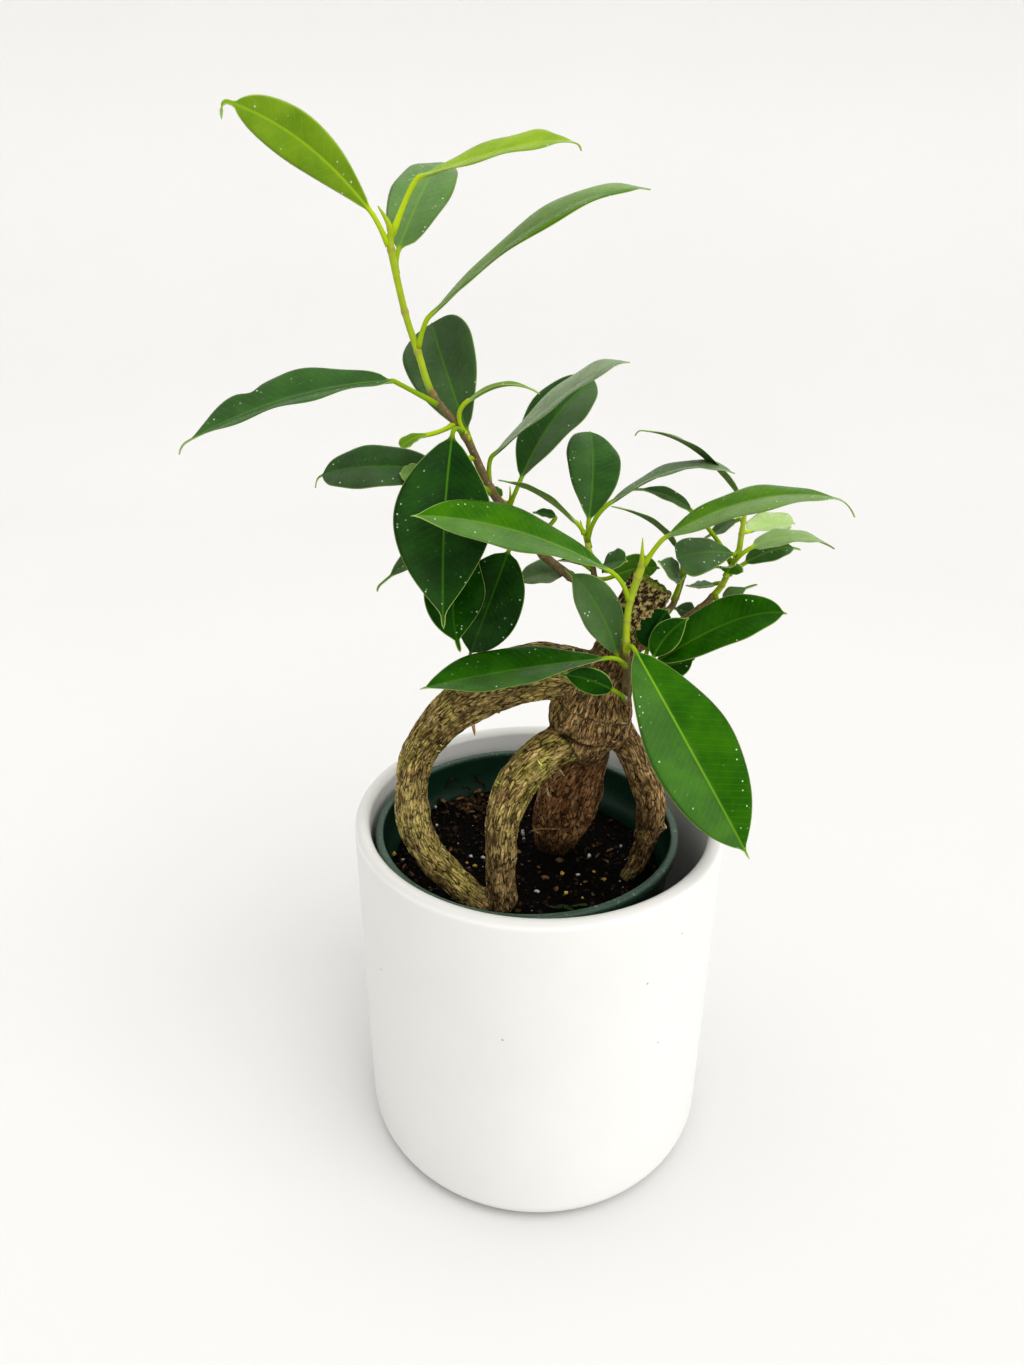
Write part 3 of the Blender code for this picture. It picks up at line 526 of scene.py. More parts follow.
def mesh_points(mesh):
    flat = np.empty(len(mesh.vertices) * 3, np.float32)
    mesh.vertices.foreach_get("co", flat)
    return flat.reshape(-1, 3).astype(float) / MM


def grown_together(paths, grain, relaxing):
    """The bars of all paths joined into one skin with a mesh of that grain, its joins smoothed."""
    points, faces = [], []
    for name, path in paths.items():
        mesh = round_bar(name, path)
        shift = sum(len(p) for p in points)
        points.append(mesh_points(mesh))
        faces += [tuple(shift + v for v in face.vertices) for face in mesh.polygons]
    rough = bpy.data.meshes.new("rough_wood")
    rough.from_pydata(np.concatenate(points) * MM, [], faces)
    wood = bpy.data.objects.new("rough_wood", rough)
    bpy.context.scene.collection.objects.link(wood)
    weld = wood.modifiers.new("weld", "WELD")
    weld.merge_threshold = 0.00001
    skin = wood.modifiers.new("skin", "REMESH")
    skin.mode = "VOXEL"
    skin.voxel_size = grain * MM
    relax = wood.modifiers.new("relax", "SMOOTH")
    relax.factor = 0.5
    relax.iterations = relaxing
    bpy.context.view_layer.update()
    mesh = bpy.data.meshes.new_from_object(wood.evaluated_get(bpy.context.evaluated_depsgraph_get()))
    bpy.data.objects.remove(wood)
    return mesh


def noise_at(points, seed):
    """Smooth noise from about -1 to 1 at each point."""
    lift = Vector((seed, 2.3 * seed, -1.7 * seed))
    return np.array([noise.noise(Vector(p) + lift) for p in points])


limb_paths = {name: grown_path(points, 8) for name, points in LIMBS.items()}
stock_mesh = grown_together(limb_paths, BARK_MESH, BARK_RELAXING)
skin = mesh_points(stock_mesh)
normals = np.empty(len(skin) * 3, np.float32)
stock_mesh.vertices.foreach_get("normal", normals)
normals = normals.reshape(-1, 3).astype(float)

# Each point of the bark learns its limb, and where it is along and around it; the seam is at the back.
TO_VIEWER = np.array([0.0, -1.0, 0.15])
nearest = np.full(len(skin), 1e9)
limb_of = np.zeros(len(skin), int)
along = np.zeros(len(skin))
around = np.zeros(len(skin))
for index, (name, path) in enumerate(limb_paths.items()):
    steps = np.linalg.norm(np.diff(path[:, :3], axis=0), axis=1)
    length = np.concatenate([[0], np.cumsum(steps)])
    gaps = np.linalg.norm(skin[:, None, :] - path[None, :, :3], axis=2) - path[None, :, 3]
    at = gaps.argmin(axis=1)
    gap = gaps[np.arange(len(skin)), at]
    tangent = np.gradient(path[:, :3], axis=0)
    tangent /= np.linalg.norm(tangent, axis=1)[:, None]
    t = tangent[at]
    away = skin - path[at, :3]
    slide = (away * t).sum(axis=1)
    away -= t * slide[:, None]
    front = TO_VIEWER - t * (t @ TO_VIEWER)[:, None]
    front /= np.linalg.norm(front, axis=1)[:, None]
    side = np.cross(t, front)
    angle = np.arctan2((away * side).sum(axis=1), (away * front).sum(axis=1))
    closer = gap < nearest - (0.0 if name != "head" else 0.4)
    nearest[closer] = gap[closer]
    limb_of[closer] = index
    along[closer] = (length[at] + slide)[closer]
    around[closer] = (angle * path[:, 3].mean())[closer]
is_limb = {name: (limb_of == i).astype(float) for i, name in enumerate(limb_paths)}

# The bark swells and pinches slowly, and splits lengthwise. The head bulges over a deep crease where the
# roots leave it, and carries a few rings that follow that crease.
chart = np.stack([around, along, limb_of * 40.0], axis=1)
split = np.exp(-((noise_at(chart / np.array([1.5, 8.0, 1.0]), 2) / 0.20) ** 2))
fine_split = np.exp(-((noise_at(chart / np.array([1.0, 4.5, 1.0]), 4) / 0.22) ** 2))
ridges = noise_at(np.stack([around / 14.0, along / 1.7, chart[:, 2]], axis=1), 7)
swell = noise_at(skin / 9.0, 5) * 0.5 + noise_at(skin / 4.0, 9) * 0.28 - 0.34 * split - 0.2 * fine_split
swell += 0.24 * np.clip(ridges, 0.1, 1) * (0.5 + is_limb["middle_root"] + 0.6 * is_limb["head"])
CREASE_X = (-1.0, 2.4, 8.6, 12.0, 16.5, 22.0, 26.2, 29.0)
CREASE_Z = (168.0, 165.3, 163.6, 161.0, 159.6, 161.2, 166.0, 170.0)
above = skin[:, 2] - np.interp(skin[:, 0], CREASE_X, CREASE_Z) + 0.5 * noise_at(skin / 3.5, 31)
above += 0.35 * (skin[:, 1] + 17)
round_head = np.clip((skin[:, 0] - 2.5) / 4, 0, 1) * np.clip((29 - skin[:, 0]) / 2, 0, 1)
round_head *= np.clip((-skin[:, 1] - 2) / 6, 0, 1)
swell += round_head * (1.3 * np.exp(-(((above - 3.2) / 2.4) ** 2)) - 1.7 * np.exp(-((above / 0.8) ** 2)))
for off, deep in ((-2.2, 0.4), (5.4, 0.4), (8.6, 0.35), (12.5, 0.4), (15.5, 0.3)):
    swell -= round_head * deep * np.exp(-(((above - off) / 0.5) ** 2))
trunk_rough = is_limb["trunk"] * np.clip((skin[:, 2] - 186) / 10, 0, 1)
swell += trunk_rough * (0.9 * noise_at(skin / 2.6, 13) + 0.5 * noise_at(skin / 1.2, 14))


def bruise(spot, radius, depth):
    """Pushes the bark in, or out when depth is negative, near a spot."""
    off = np.linalg.norm(skin - np.array(spot), axis=1) / radius
    return -depth * np.exp(-(off**2) * 1.5)


BRUISES = (
    ((8.6, -17.3, 173.5), 1.5, 2.6), ((-40.5, -22.3, 125.5), 2.4, 2.4), ((-43.0, -21.5, 127.8), 1.6, -1.0),
    ((-13.5, -30.3, 113.0), 2.4, -0.9), ((-14.0, -8.0, 168.4), 0.9, -2.6), ((33.2, -5.0, 119.5), 1.6, -1.4),
    ((43.0, -4.0, 122.5), 1.8, -1.8),
)
swell += sum(bruise(*each) for each in BRUISES)
skin += normals * swell[:, None]

# Algae lies on the arching root and the upper middle root; the arching root has a pale patch of shed bark.
# The old cut of the trunk is mossy, and the roots are painted darker towards the soil.
moss = np.clip(is_limb["arch_root"] * (0.72 + 0.35 * noise_at(skin / 10, 3)), 0, 1)
upper_middle = np.clip((skin[:, 2] - 124) / 22 - 0.35 * np.clip(around, 0, 9) / 9, 0, 1)
moss = np.maximum(moss, is_limb["middle_root"] * upper_middle)
moss = np.maximum(moss, 0.45 * is_limb["head"] * np.clip((14 - skin[:, 0]) / 8, 0, 1))
patch_top = 147.5 + 0.6 * np.sign(noise_at(skin / 5, 21))
patch = is_limb["arch_root"] * (skin[:, 2] < patch_top) * np.clip((skin[:, 2] - 119) / 10, 0, 1)
patch = patch * np.clip(0.6 - normals[:, 1], 0, 1)
red = np.clip(is_limb["tap_root"] + 0.25 * (is_limb["head"] + is_limb["trunk"] + is_limb["right_root"]), 0, 1)
cut_lean = np.array(CUT_LEAN) / np.linalg.norm(CUT_LEAN)
cut = np.clip(((skin - CUT_MIDDLE) @ cut_lean + 0.9) / 0.5, 0, 1) * is_limb["trunk"]
foot = np.exp(-((np.linalg.norm(skin - np.array([30.6, -7.6, 103.0]), axis=1) / 3.4) ** 4))
# The roots are painted darker towards their feet; on the tap root the darkening reaches up to 115 mm.
low_darkening = np.clip((106.5 - skin[:, 2] + 3.0 * noise_at(skin / 3, 17)) / 4, 0, 1)
tap_low_darkening = np.clip((115 - skin[:, 2] + 4.0 * noise_at(skin / 3, 19)) / 11, 0, 1)
low_darkening = np.maximum(low_darkening, is_limb["tap_root"] * tap_low_darkening)
values = {
    "moss": moss, "patch": patch, "red": red, "rough_bark": trunk_rough * (1 - cut), "cut": cut, "foot": foot,
    "split": np.maximum(split, 0.7 * fine_split), "low_darkening": low_darkening * (1 - foot),
    # crease is where painted shade falls under the head's bulge
    "crease": round_head * np.exp(-((above / 1.1) ** 2)),
}
faces = [tuple(face.vertices) for face in stock_mesh.polygons]


def corky_bark():
    bark = Finish("corky_root_bark", 0.8, 0.2)
    flat = bark.put("UVMap", {}, uv_map="chart").outputs["UV"]
    sway = bark.put("TexNoise", {"Vector": bark.spot, "Scale": 1 / (3 * MM), "Detail": 2.0}).outputs["Color"]
    sway = bark.put("VectorMath", {0: sway, 1: (0.5, 0.5, 0.5)}, operation="SUBTRACT").outputs["Vector"]
    swayed = {0: sway, 1: (0.006, 0.016, 0.0), 2: flat}
    chart = bark.put("VectorMath", swayed, operation="MULTIPLY_ADD").outputs["Vector"]

    def stretched(kind, x, y, shift=0.0, more=None, **settings):
        """A pattern whose cells are x millimetres around the limb and y along it."""
        place = {"Vector": chart, "Scale": (100 / x, 100 / y, 1.0), "Location": (shift, shift, 0.0)}
        inputs = {"Vector": bark.put("Mapping", place).outputs["Vector"], "Scale": 1.0, **(more or {})}
        return bark.put(kind, inputs, **settings).outputs

    def one_of(colour, letter):
        return bark.put("SeparateColor", {"Color": colour}).outputs[letter]

    plates = stretched("TexVoronoi", 1.0, 4.6, feature="DISTANCE_TO_EDGE")["Distance"]
    slivers = stretched("TexVoronoi", 0.5, 2.4, 3.3, feature="DISTANCE_TO_EDGE")["Distance"]
    grain = stretched("TexNoise", 0.5, 2.6, more={"Detail": 4.0, "Roughness": 0.7})["Fac"]
    broad = bark.cloudy(5, 5, 0.62)
    plate_tone = one_of(stretched("TexVoronoi", 1.0, 4.6)["Color"], "Green")
    tone = bark.scaled(plate_tone, 0.30, bark.between(grain, 0.30, 0.70, 0.0, 0.55))
    tone = bark.plus(tone, bark.between(broad, 0.35, 0.65, -0.22, 0.25))
    brown = bark.mixed(tone, (0.190, 0.100, 0.033), (0.95, 0.70, 0.32))
    reddish = bark.mixed(tone, (0.190, 0.080, 0.028), (0.90, 0.52, 0.24))
    green = bark.mixed(tone, (0.130, 0.095, 0.020), (0.82, 0.72, 0.20))
    moss = bark.told("moss")
    bark.colour = bark.mixed(bark.told("red"), brown, reddish)
    bark.coat(bark.times(moss, bark.between(bark.cloudy(7, 4, 0.6), 0.34, 0.62, 0.15, 1.0)), green)
    shed = bark.times(bark.told("patch"), bark.between(bark.cloudy(3.0, 4, 0.65), 0.42, 0.56))
    bark.coat(shed, bark.mixed(bark.cloudy(2.4, 3, 0.6), (0.70, 0.42, 0.22), (0.62, 0.66, 0.20)), 0.62)

    gap = bark.larger(bark.between(plates, 0.13, 0.05), bark.between(slivers, 0.08, 0.02, 0.0, 0.45))
    gap = bark.times(gap, bark.between(bark.cloudy(2.2, 4, 0.7), 0.36, 0.58, 0.35, 1.0))
    # The gaps between bark plates are the bark's own dark; the splits and the crease under the head are also
    # painted near black as painted shade.
    deep = bark.larger(gap, bark.between(bark.told("split"), 0.5, 1.0, 0.0, 0.75))
    deep = bark.larger(deep, bark.between(bark.told("crease"), 0.3, 0.95, 0.0, 0.9))
    bark.coat(deep, (0.014, 0.007, 0.003), 0.9)

    cells = stretched("TexVoronoi", 7.0, 1.25, 1.7, {"Randomness": 0.9})
    wide = bark.between(one_of(cells["Color"], "Red"), 0.66, 0.86, -0.08, 0.235)
    pore = bark.between(bark.sum_up("SUBTRACT", cells["Distance"], wide), 0.03, -0.03)
    pore = bark.times(pore, bark.between(bark.cloudy(9, 2), 0.40, 0.50, 0.2, 1.0))
    bark.coat(pore, bark.mixed(moss, (1.0, 0.78, 0.45), (0.85, 0.98, 0.20)), 0.95)
    bark.coat(bark.between(bark.dots(2.2), 0.16, 0.09), (0.66, 0.52, 0.32), 0.6)

    lichen = bark.between(bark.cloudy(1.5, 5, 0.72), 0.46, 0.58)
    bark.coat(bark.told("rough_bark"), bark.mixed(lichen, (0.040, 0.024, 0.010), (0.58, 0.47, 0.19)))
    tufts = bark.between(bark.cloudy(2.0, 5, 0.7), 0.38, 0.62)
    bark.coat(bark.told("cut"), bark.mixed(tufts, (0.060, 0.060, 0.010), (0.27, 0.34, 0.035)))
    pale_foot = bark.mixed(bark.between(grain, 0.35, 0.65), (0.10, 0.075, 0.02), (0.42, 0.40, 0.16))
    bark.coat(bark.told("foot"), pale_foot, 0.8)
    # The roots are painted darker towards the soil.
    low_darkening_share = bark.times(bark.told("low_darkening"), bark.between(broad, 0.3, 0.6, 0.5, 0.95))
    bark.coat(low_darkening_share, (0.006, 0.004, 0.002))
    height = bark.scaled(pore, 0.35, bark.scaled(grain, 0.5, bark.times(gap, -0.8)))
    return bark.dress(bark.between(grain, 0.3, 0.7, 0.92, 0.70), height, 0.5)


chart = np.stack([around, along + limb_of * 37.0], axis=1) / 100.0
make_piece("rootstock_wood", skin, faces, corky_bark(), "root_bark", ["rootstock"], values, chart)


# Thin side roots: one hangs between the thick roots, one crosses the tap root, and a short spur sits under
# the arch. Dried hairs cling to the nursery pot's wall.
ROOTLETS = {
    "hanging_rootlet": [
        (3.4, -11.5, 153.5, 0.3), (3.2, -9.8, 149.5, 0.25), (4.0, -9.6, 142, 0.22), (3.9, -9.4, 138, 0.2),
        (4.8, -8.8, 134.5, 0.16),
    ],
    "crossing_rootlet": [
        (-2.4, -1.2, 117.5, 0.2), (1.2, -3.3, 120, 0.24), (6, -4.4, 120.8, 0.24), (11.5, -3.8, 120.2, 0.2),
        (15.5, -1.2, 119.2, 0.15),
    ],
    "spur": [
        (-21.6, -12.5, 167.5, 0.75), (-21.3, -13.2, 164.8, 0.6), (-21, -13.4, 162.6, 0.35),
        (-20.9, -13.4, 161.4, 0.1),
    ],
    "wall_hair_1": [
        (-36.9, 35.9, 112, 0.3), (-34.6, 36.9, 115.4, 0.24), (-33.2, 38.1, 115.8, 0.2),
        (-32.8, 39.3, 113.8, 0.15),
    ],
    "wall_hair_2": [
        (-25.5, 42.6, 115, 0.26), (-24.7, 43, 111.4, 0.32), (-22.4, 44, 110, 0.3), (-22, 44.1, 107, 0.2),
    ],
    "wall_hair_3": [(-30.5, 39.9, 110, 0.2), (-28.5, 41.4, 109.4, 0.25), (-27, 42.2, 107, 0.3)],
}


def unit(vector):
    return vector / np.linalg.norm(vector)


def bar_rings(path, sides, across, swelling=1.0):
    """Rings of a round bar along a path of (x, y, z, radius). across is where the first ring starts, and
    swelling scales the radii."""
    turns = np.linspace(0, math.tau, sides, endpoint=False)
    rings = []
    for i, (spot, radius) in enumerate(zip(path[:, :3], path[:, 3] * swelling)):
        heading = unit(path[min(i + 1, len(path) - 1), :3] - path[max(i - 1, 0), :3])
        across = unit(across - heading * (across @ heading))
        over = np.cross(heading, across)
        rings.append(spot + radius * (np.cos(turns)[:, None] * across + np.sin(turns)[:, None] * over))
    return rings


def dry_hair():
    hair = Finish("dry_rootlet", 0.8, 0.2)
    streaks = hair.between(hair.cloudy(1.2, 4, 0.7), 0.35, 0.65)
    living = hair.mixed(streaks, (0.20, 0.11, 0.05), (0.60, 0.40, 0.21))
    dried = hair.mixed(streaks, (0.010, 0.007, 0.005), (0.09, 0.05, 0.03))
    hair.colour = hair.mixed(hair.between(hair.axis("Y"), 5 * MM, 20 * MM), living, dried)
    return hair.dress(hair.between(streaks, 0, 1, 0.7, 0.95), streaks, 0.1)


hair_finish = dry_hair()
for name, points in ROOTLETS.items():
    rings = bar_rings(grown_path(points, 6), 8, np.array([1.0, 0.2, 0.1]))
    make_piece(name, *skin_over(rings), hair_finish, "root_bark")


# The shoots sprout from the old wood. Each is brown and corky at its foot and green above, thicker at the
# nodes where leaves stand, and ends in the rolled sheath of its next leaf.
SHOOTS = {
    "tall_shoot": [
        (26.2, 0.5, 198.8, 1.7), (20.0, 6.5, 202.0, 1.7), (8.6, 8.0, 208.5, 1.5), (-0.2, 8.0, 215.5, 1.45),
        (-9.1, 7.0, 226.0, 1.4), (-16.8, 6.0, 236.8, 1.35), (-24.0, 4.0, 252.5, 1.15),
        (-33.0, 3.0, 264.2, 1.05), (-36.8, 2.0, 276.0, 1.0), (-40.0, 1.5, 286.5, 0.95),
        (-42.9, 0.5, 302.1, 1.0), (-42.8, 0.0, 307.4, 0.85), (-45.8, 0.0, 312.6, 0.2),
    ],
    "front_shoot": [
        (26.0, -11.6, 174.2, 1.5), (26.4, -14.2, 181.4, 1.35), (25.9, -14.6, 188.8, 1.15),
        (25.4, -15.0, 195.6, 1.1), (25.2, -16.0, 202.7, 1.1), (25.7, -17.0, 209.4, 1.1),
        (27.4, -18.0, 216.7, 1.15), (28.2, -18.5, 220.5, 1.0), (28.0, -19.0, 225.1, 0.45),
        (27.9, -19.0, 228.6, 0.15),
    ],
    "middle_shoot": [
        (24.2, -0.6, 199.6, 1.1), (17.2, 3.6, 207.0, 1.0), (15.1, 3.8, 215.2, 0.9), (13.7, 4.0, 219.5, 0.8),
        (12.3, 4.0, 223.6, 0.45), (11.0, 4.0, 227.7, 0.15),
    ],
    "side_shoot": [
        (-10.6, 7.6, 226.8, 0.7), (-11.4, 10.0, 230.0, 0.6), (-10.7, 9.6, 233.0, 0.4),
        (-10.8, 9.4, 236.6, 0.15),
    ],
    "near_right_shoot": [
        (30.5, -0.2, 192.5, 1.2), (40.2, 6.0, 198.0, 1.1), (42.5, 6.3, 202.4, 1.0), (44.3, 7.0, 209.4, 0.9),
        (45.2, 7.0, 213.4, 0.7), (45.9, 7.0, 216.8, 0.2),
    ],
    "far_right_shoot": [
        (29.0, -0.8, 185.8, 1.3), (41.0, 5.5, 192.0, 1.2), (50.6, 7.0, 198.8, 1.1), (54.3, 8.0, 202.2, 1.1),
        (57.0, 8.0, 206.3, 1.0), (58.8, 8.0, 211.0, 1.0), (61.0, 8.0, 216.9, 0.95), (61.4, 8.0, 223.0, 0.85),
        (61.7, 8.0, 229.9, 0.65), (61.6, 8.0, 233.6, 0.15),
    ],
    "low_right_shoot": [(27.3, -10.0, 183.2, 1.1), (30.6, -13.6, 187.0, 1.0), (31.8, -14.2, 190.0, 0.3)],
}
# Where each shoot's bark ends, counted in its listed points; the green ones have a slot of their own
WOOD_ENDS = {
    "tall_shoot": 7.2, "front_shoot": 2.4, "middle_shoot": 2.2, "side_shoot": -1.0,
    "near_right_shoot": 3.4, "far_right_shoot": 3.2, "low_right_shoot": 0.8,
}
GREEN_SHOOTS = ("front_shoot", "middle_shoot", "side_shoot")
SHOOT_SIDES = 20
STEPS_PER_POINT = 10
NODE_LONG = 0.55
NODE_SWELL = 0.2


def young_stem():
    stem = Finish("young_stem", 0.5)
    woody, cloud = stem.told("woody"), stem.cloudy(3, 4)
    brown = stem.mixed(stem.cloudy(1.4, 5, 0.7), (0.060, 0.038, 0.014), (0.30, 0.22, 0.10))
    stem.colour = stem.mixed(cloud, (0.26, 0.38, 0.006), (0.50, 0.60, 0.012))
    stem.coat(stem.between(stem.plus(woody, stem.scaled(cloud, 0.5, -0.25)), 0.35, 0.65), brown)
    stem.coat(stem.told("node"), (0.34, 0.24, 0.08), 0.55)
    stem.coat(stem.times(stem.between(stem.dots(1.5), 0.2, 0.1), woody), (0.50, 0.42, 0.26), 0.6)
    height = stem.times(stem.cloudy(0.8, 4), stem.scaled(woody, 0.85, 0.15))
    return stem.dress(stem.scaled(woody, 0.35, 0.36), height, 0.25)


stem_finish = young_stem()
shoot_paths = {name: grown_path(points, STEPS_PER_POINT) for name, points in SHOOTS.items()}
for name, path in shoot_paths.items():
    steps = np.arange(len(path))
    place, last_node = steps / STEPS_PER_POINT, len(SHOOTS[name]) - 2
    off_node = np.abs(place[:, None] - np.arange(1, max(last_node, 2))).min(axis=1)
    span = path[np.minimum(steps + 5, len(path) - 1), :3] - path[np.maximum(steps - 5, 0), :3]
    node = np.exp(-((off_node * np.linalg.norm(span, axis=1) / NODE_LONG) ** 2)) * (place < last_node)
    woody = 1 / (1 + np.exp((place - WOOD_ENDS[name]) * 3.0))
    across = unit(np.cross(path[1, :3] - path[0, :3], (0.3, 1.0, 0.1)))
    points, faces = skin_over(bar_rings(path, SHOOT_SIDES, across, 1 + NODE_SWELL * node))
    slot = "green_stem" if name in GREEN_SHOOTS else "woody_stem"
    values = {"woody": np.repeat(woody, SHOOT_SIDES), "node": np.repeat(node, SHOOT_SIDES)}
    make_piece(name + "_stem", points, faces, stem_finish, slot, [name], values)


# The leaves are thick, smooth and glossy, pointed with a drip tip, folded a little along a pale midrib. They
# are dark above and matt below with a thin pale margin; the youngest are yellow-green. Many carry a pale
# painted sheen that stands for the reflection of the bright room.
LEAF_THICK = 0.36
ACROSS = 18
BLADE_STATIONS = 54
STALK_STATIONS = 10
HOOK_STATIONS = 8
STALK_RADIUS = 0.72
TIP_HALF = 0.75


def leaf_width(s, belly, root, point):
    """Half of the blade's width at s along the midrib, as a share of its widest half. It is widest at belly;
    root and point say how slowly it widens from the stalk and narrows towards the tip."""
    widest = root / (root + point)
    t = np.clip(s, 0, 1) ** (math.log(widest) / math.log(belly))
    return t**root * (1 - t) ** point / (widest**root * (1 - widest) ** point)


def leaf_skin(name):
    leaf = Finish(name, 0.33, 0.10)
    rib, edge, along = leaf.told("rib"), leaf.told("edge"), leaf.told("along")
    under, young, stalk = leaf.told("under"), leaf.told("young"), leaf.told("stalk")
    cloud = leaf.between(leaf.cloudy(9, 4, 0.55), 0.3, 0.7)
    dark = leaf.mixed(cloud, (0.002, 0.034, 0.0006), (0.008, 0.066, 0.0010))
    grass = leaf.mixed(cloud, (0.020, 0.108, 0.0005), (0.040, 0.158, 0.0008))
    fresh = leaf.mixed(cloud, (0.20, 0.33, 0.001), (0.29, 0.43, 0.003))
    leaf.colour = leaf.mixed(leaf.put("MapRange", {"Value": young, "From Max": 0.3}).outputs[0], dark, grass)
    leaf.coat(leaf.put("MapRange", {"Value": young, "From Min": 0.3}).outputs[0], fresh)

    off_vein = leaf.sum_up("PINGPONG", leaf.scaled(rib, -0.62, along), 1.1)
    vein = leaf.times(leaf.between(off_vein, 0.26, 0.0), leaf.between(rib, 0.3, 1.5))
    vein = leaf.times(vein, leaf.between(edge, 0.3, 1.8))
    leaf.coat(vein, leaf.mixed(young, (0.020, 0.110, 0.012), (0.34, 0.56, 0.02)), 0.22)
    # Painted sheen: a pale grey-green laid over the leaf by the bloom share stands in for the reflection of
    # the bright room.
    sheen = leaf.times(leaf.told("bloom"), leaf.between(leaf.cloudy(6, 4, 0.65), 0.25, 0.75, 0.75, 1.15))
    leaf.coat(sheen, leaf.mixed(young, (0.29, 0.36, 0.23), (0.50, 0.66, 0.30)))
    midrib = leaf.times(leaf.between(rib, 0.48, 0.2), leaf.told("rib_show"))
    leaf.coat(midrib, leaf.mixed(young, (0.09, 0.27, 0.015), (0.50, 0.70, 0.03)))
    below = leaf.mixed(young, (0.085, 0.150, 0.060), (0.30, 0.46, 0.08))
    leaf.coat(under, leaf.mixed(leaf.times(leaf.larger(vein, midrib), 0.5), below, (0.27, 0.38, 0.14)))
    leaf.coat(leaf.between(edge, 0.42, 0.16), (0.42, 0.56, 0.17), 0.75)
    leaf.coat(stalk, leaf.mixed(young, (0.22, 0.36, 0.012), (0.52, 0.66, 0.02)))

    dotted = leaf.times(leaf.between(leaf.dots(2.3), 0.15, 0.09), leaf.between(edge, 5.5, 2.5, 0.12, 1.0))
    dotted = leaf.times(dotted, leaf.between(leaf.cloudy(11, 2), 0.46, 0.52))
    dotted = leaf.times(leaf.times(dotted, leaf.between(under, 0.6, 0.2)), leaf.between(stalk, 0.2, 0.0))
    leaf.coat(dotted, (0.62, 0.74, 0.55), 0.85)
    rough = leaf.scaled(under, 0.3, leaf.between(leaf.cloudy(5, 5, 0.7), 0.35, 0.7, 0.22, 0.38))
    height = leaf.scaled(vein, -0.45, leaf.times(leaf.cloudy(1.5, 3), 0.35))
    return leaf.dress(rough, leaf.scaled(dotted, 0.8, height), 0.1)


leaf_finishes = {"leaf": leaf_skin("mature_leaf"), "young_leaf": leaf_skin("fresh_leaf")}


def curved(t, start, guide, end):
    """The place at t on a curve bent towards guide, and its heading there."""
    spot = (1 - t) ** 2 * start + 2 * t * (1 - t) * guide + t**2 * end
    return spot, unit((1 - t) * (guide - start) + t * (end - guide))


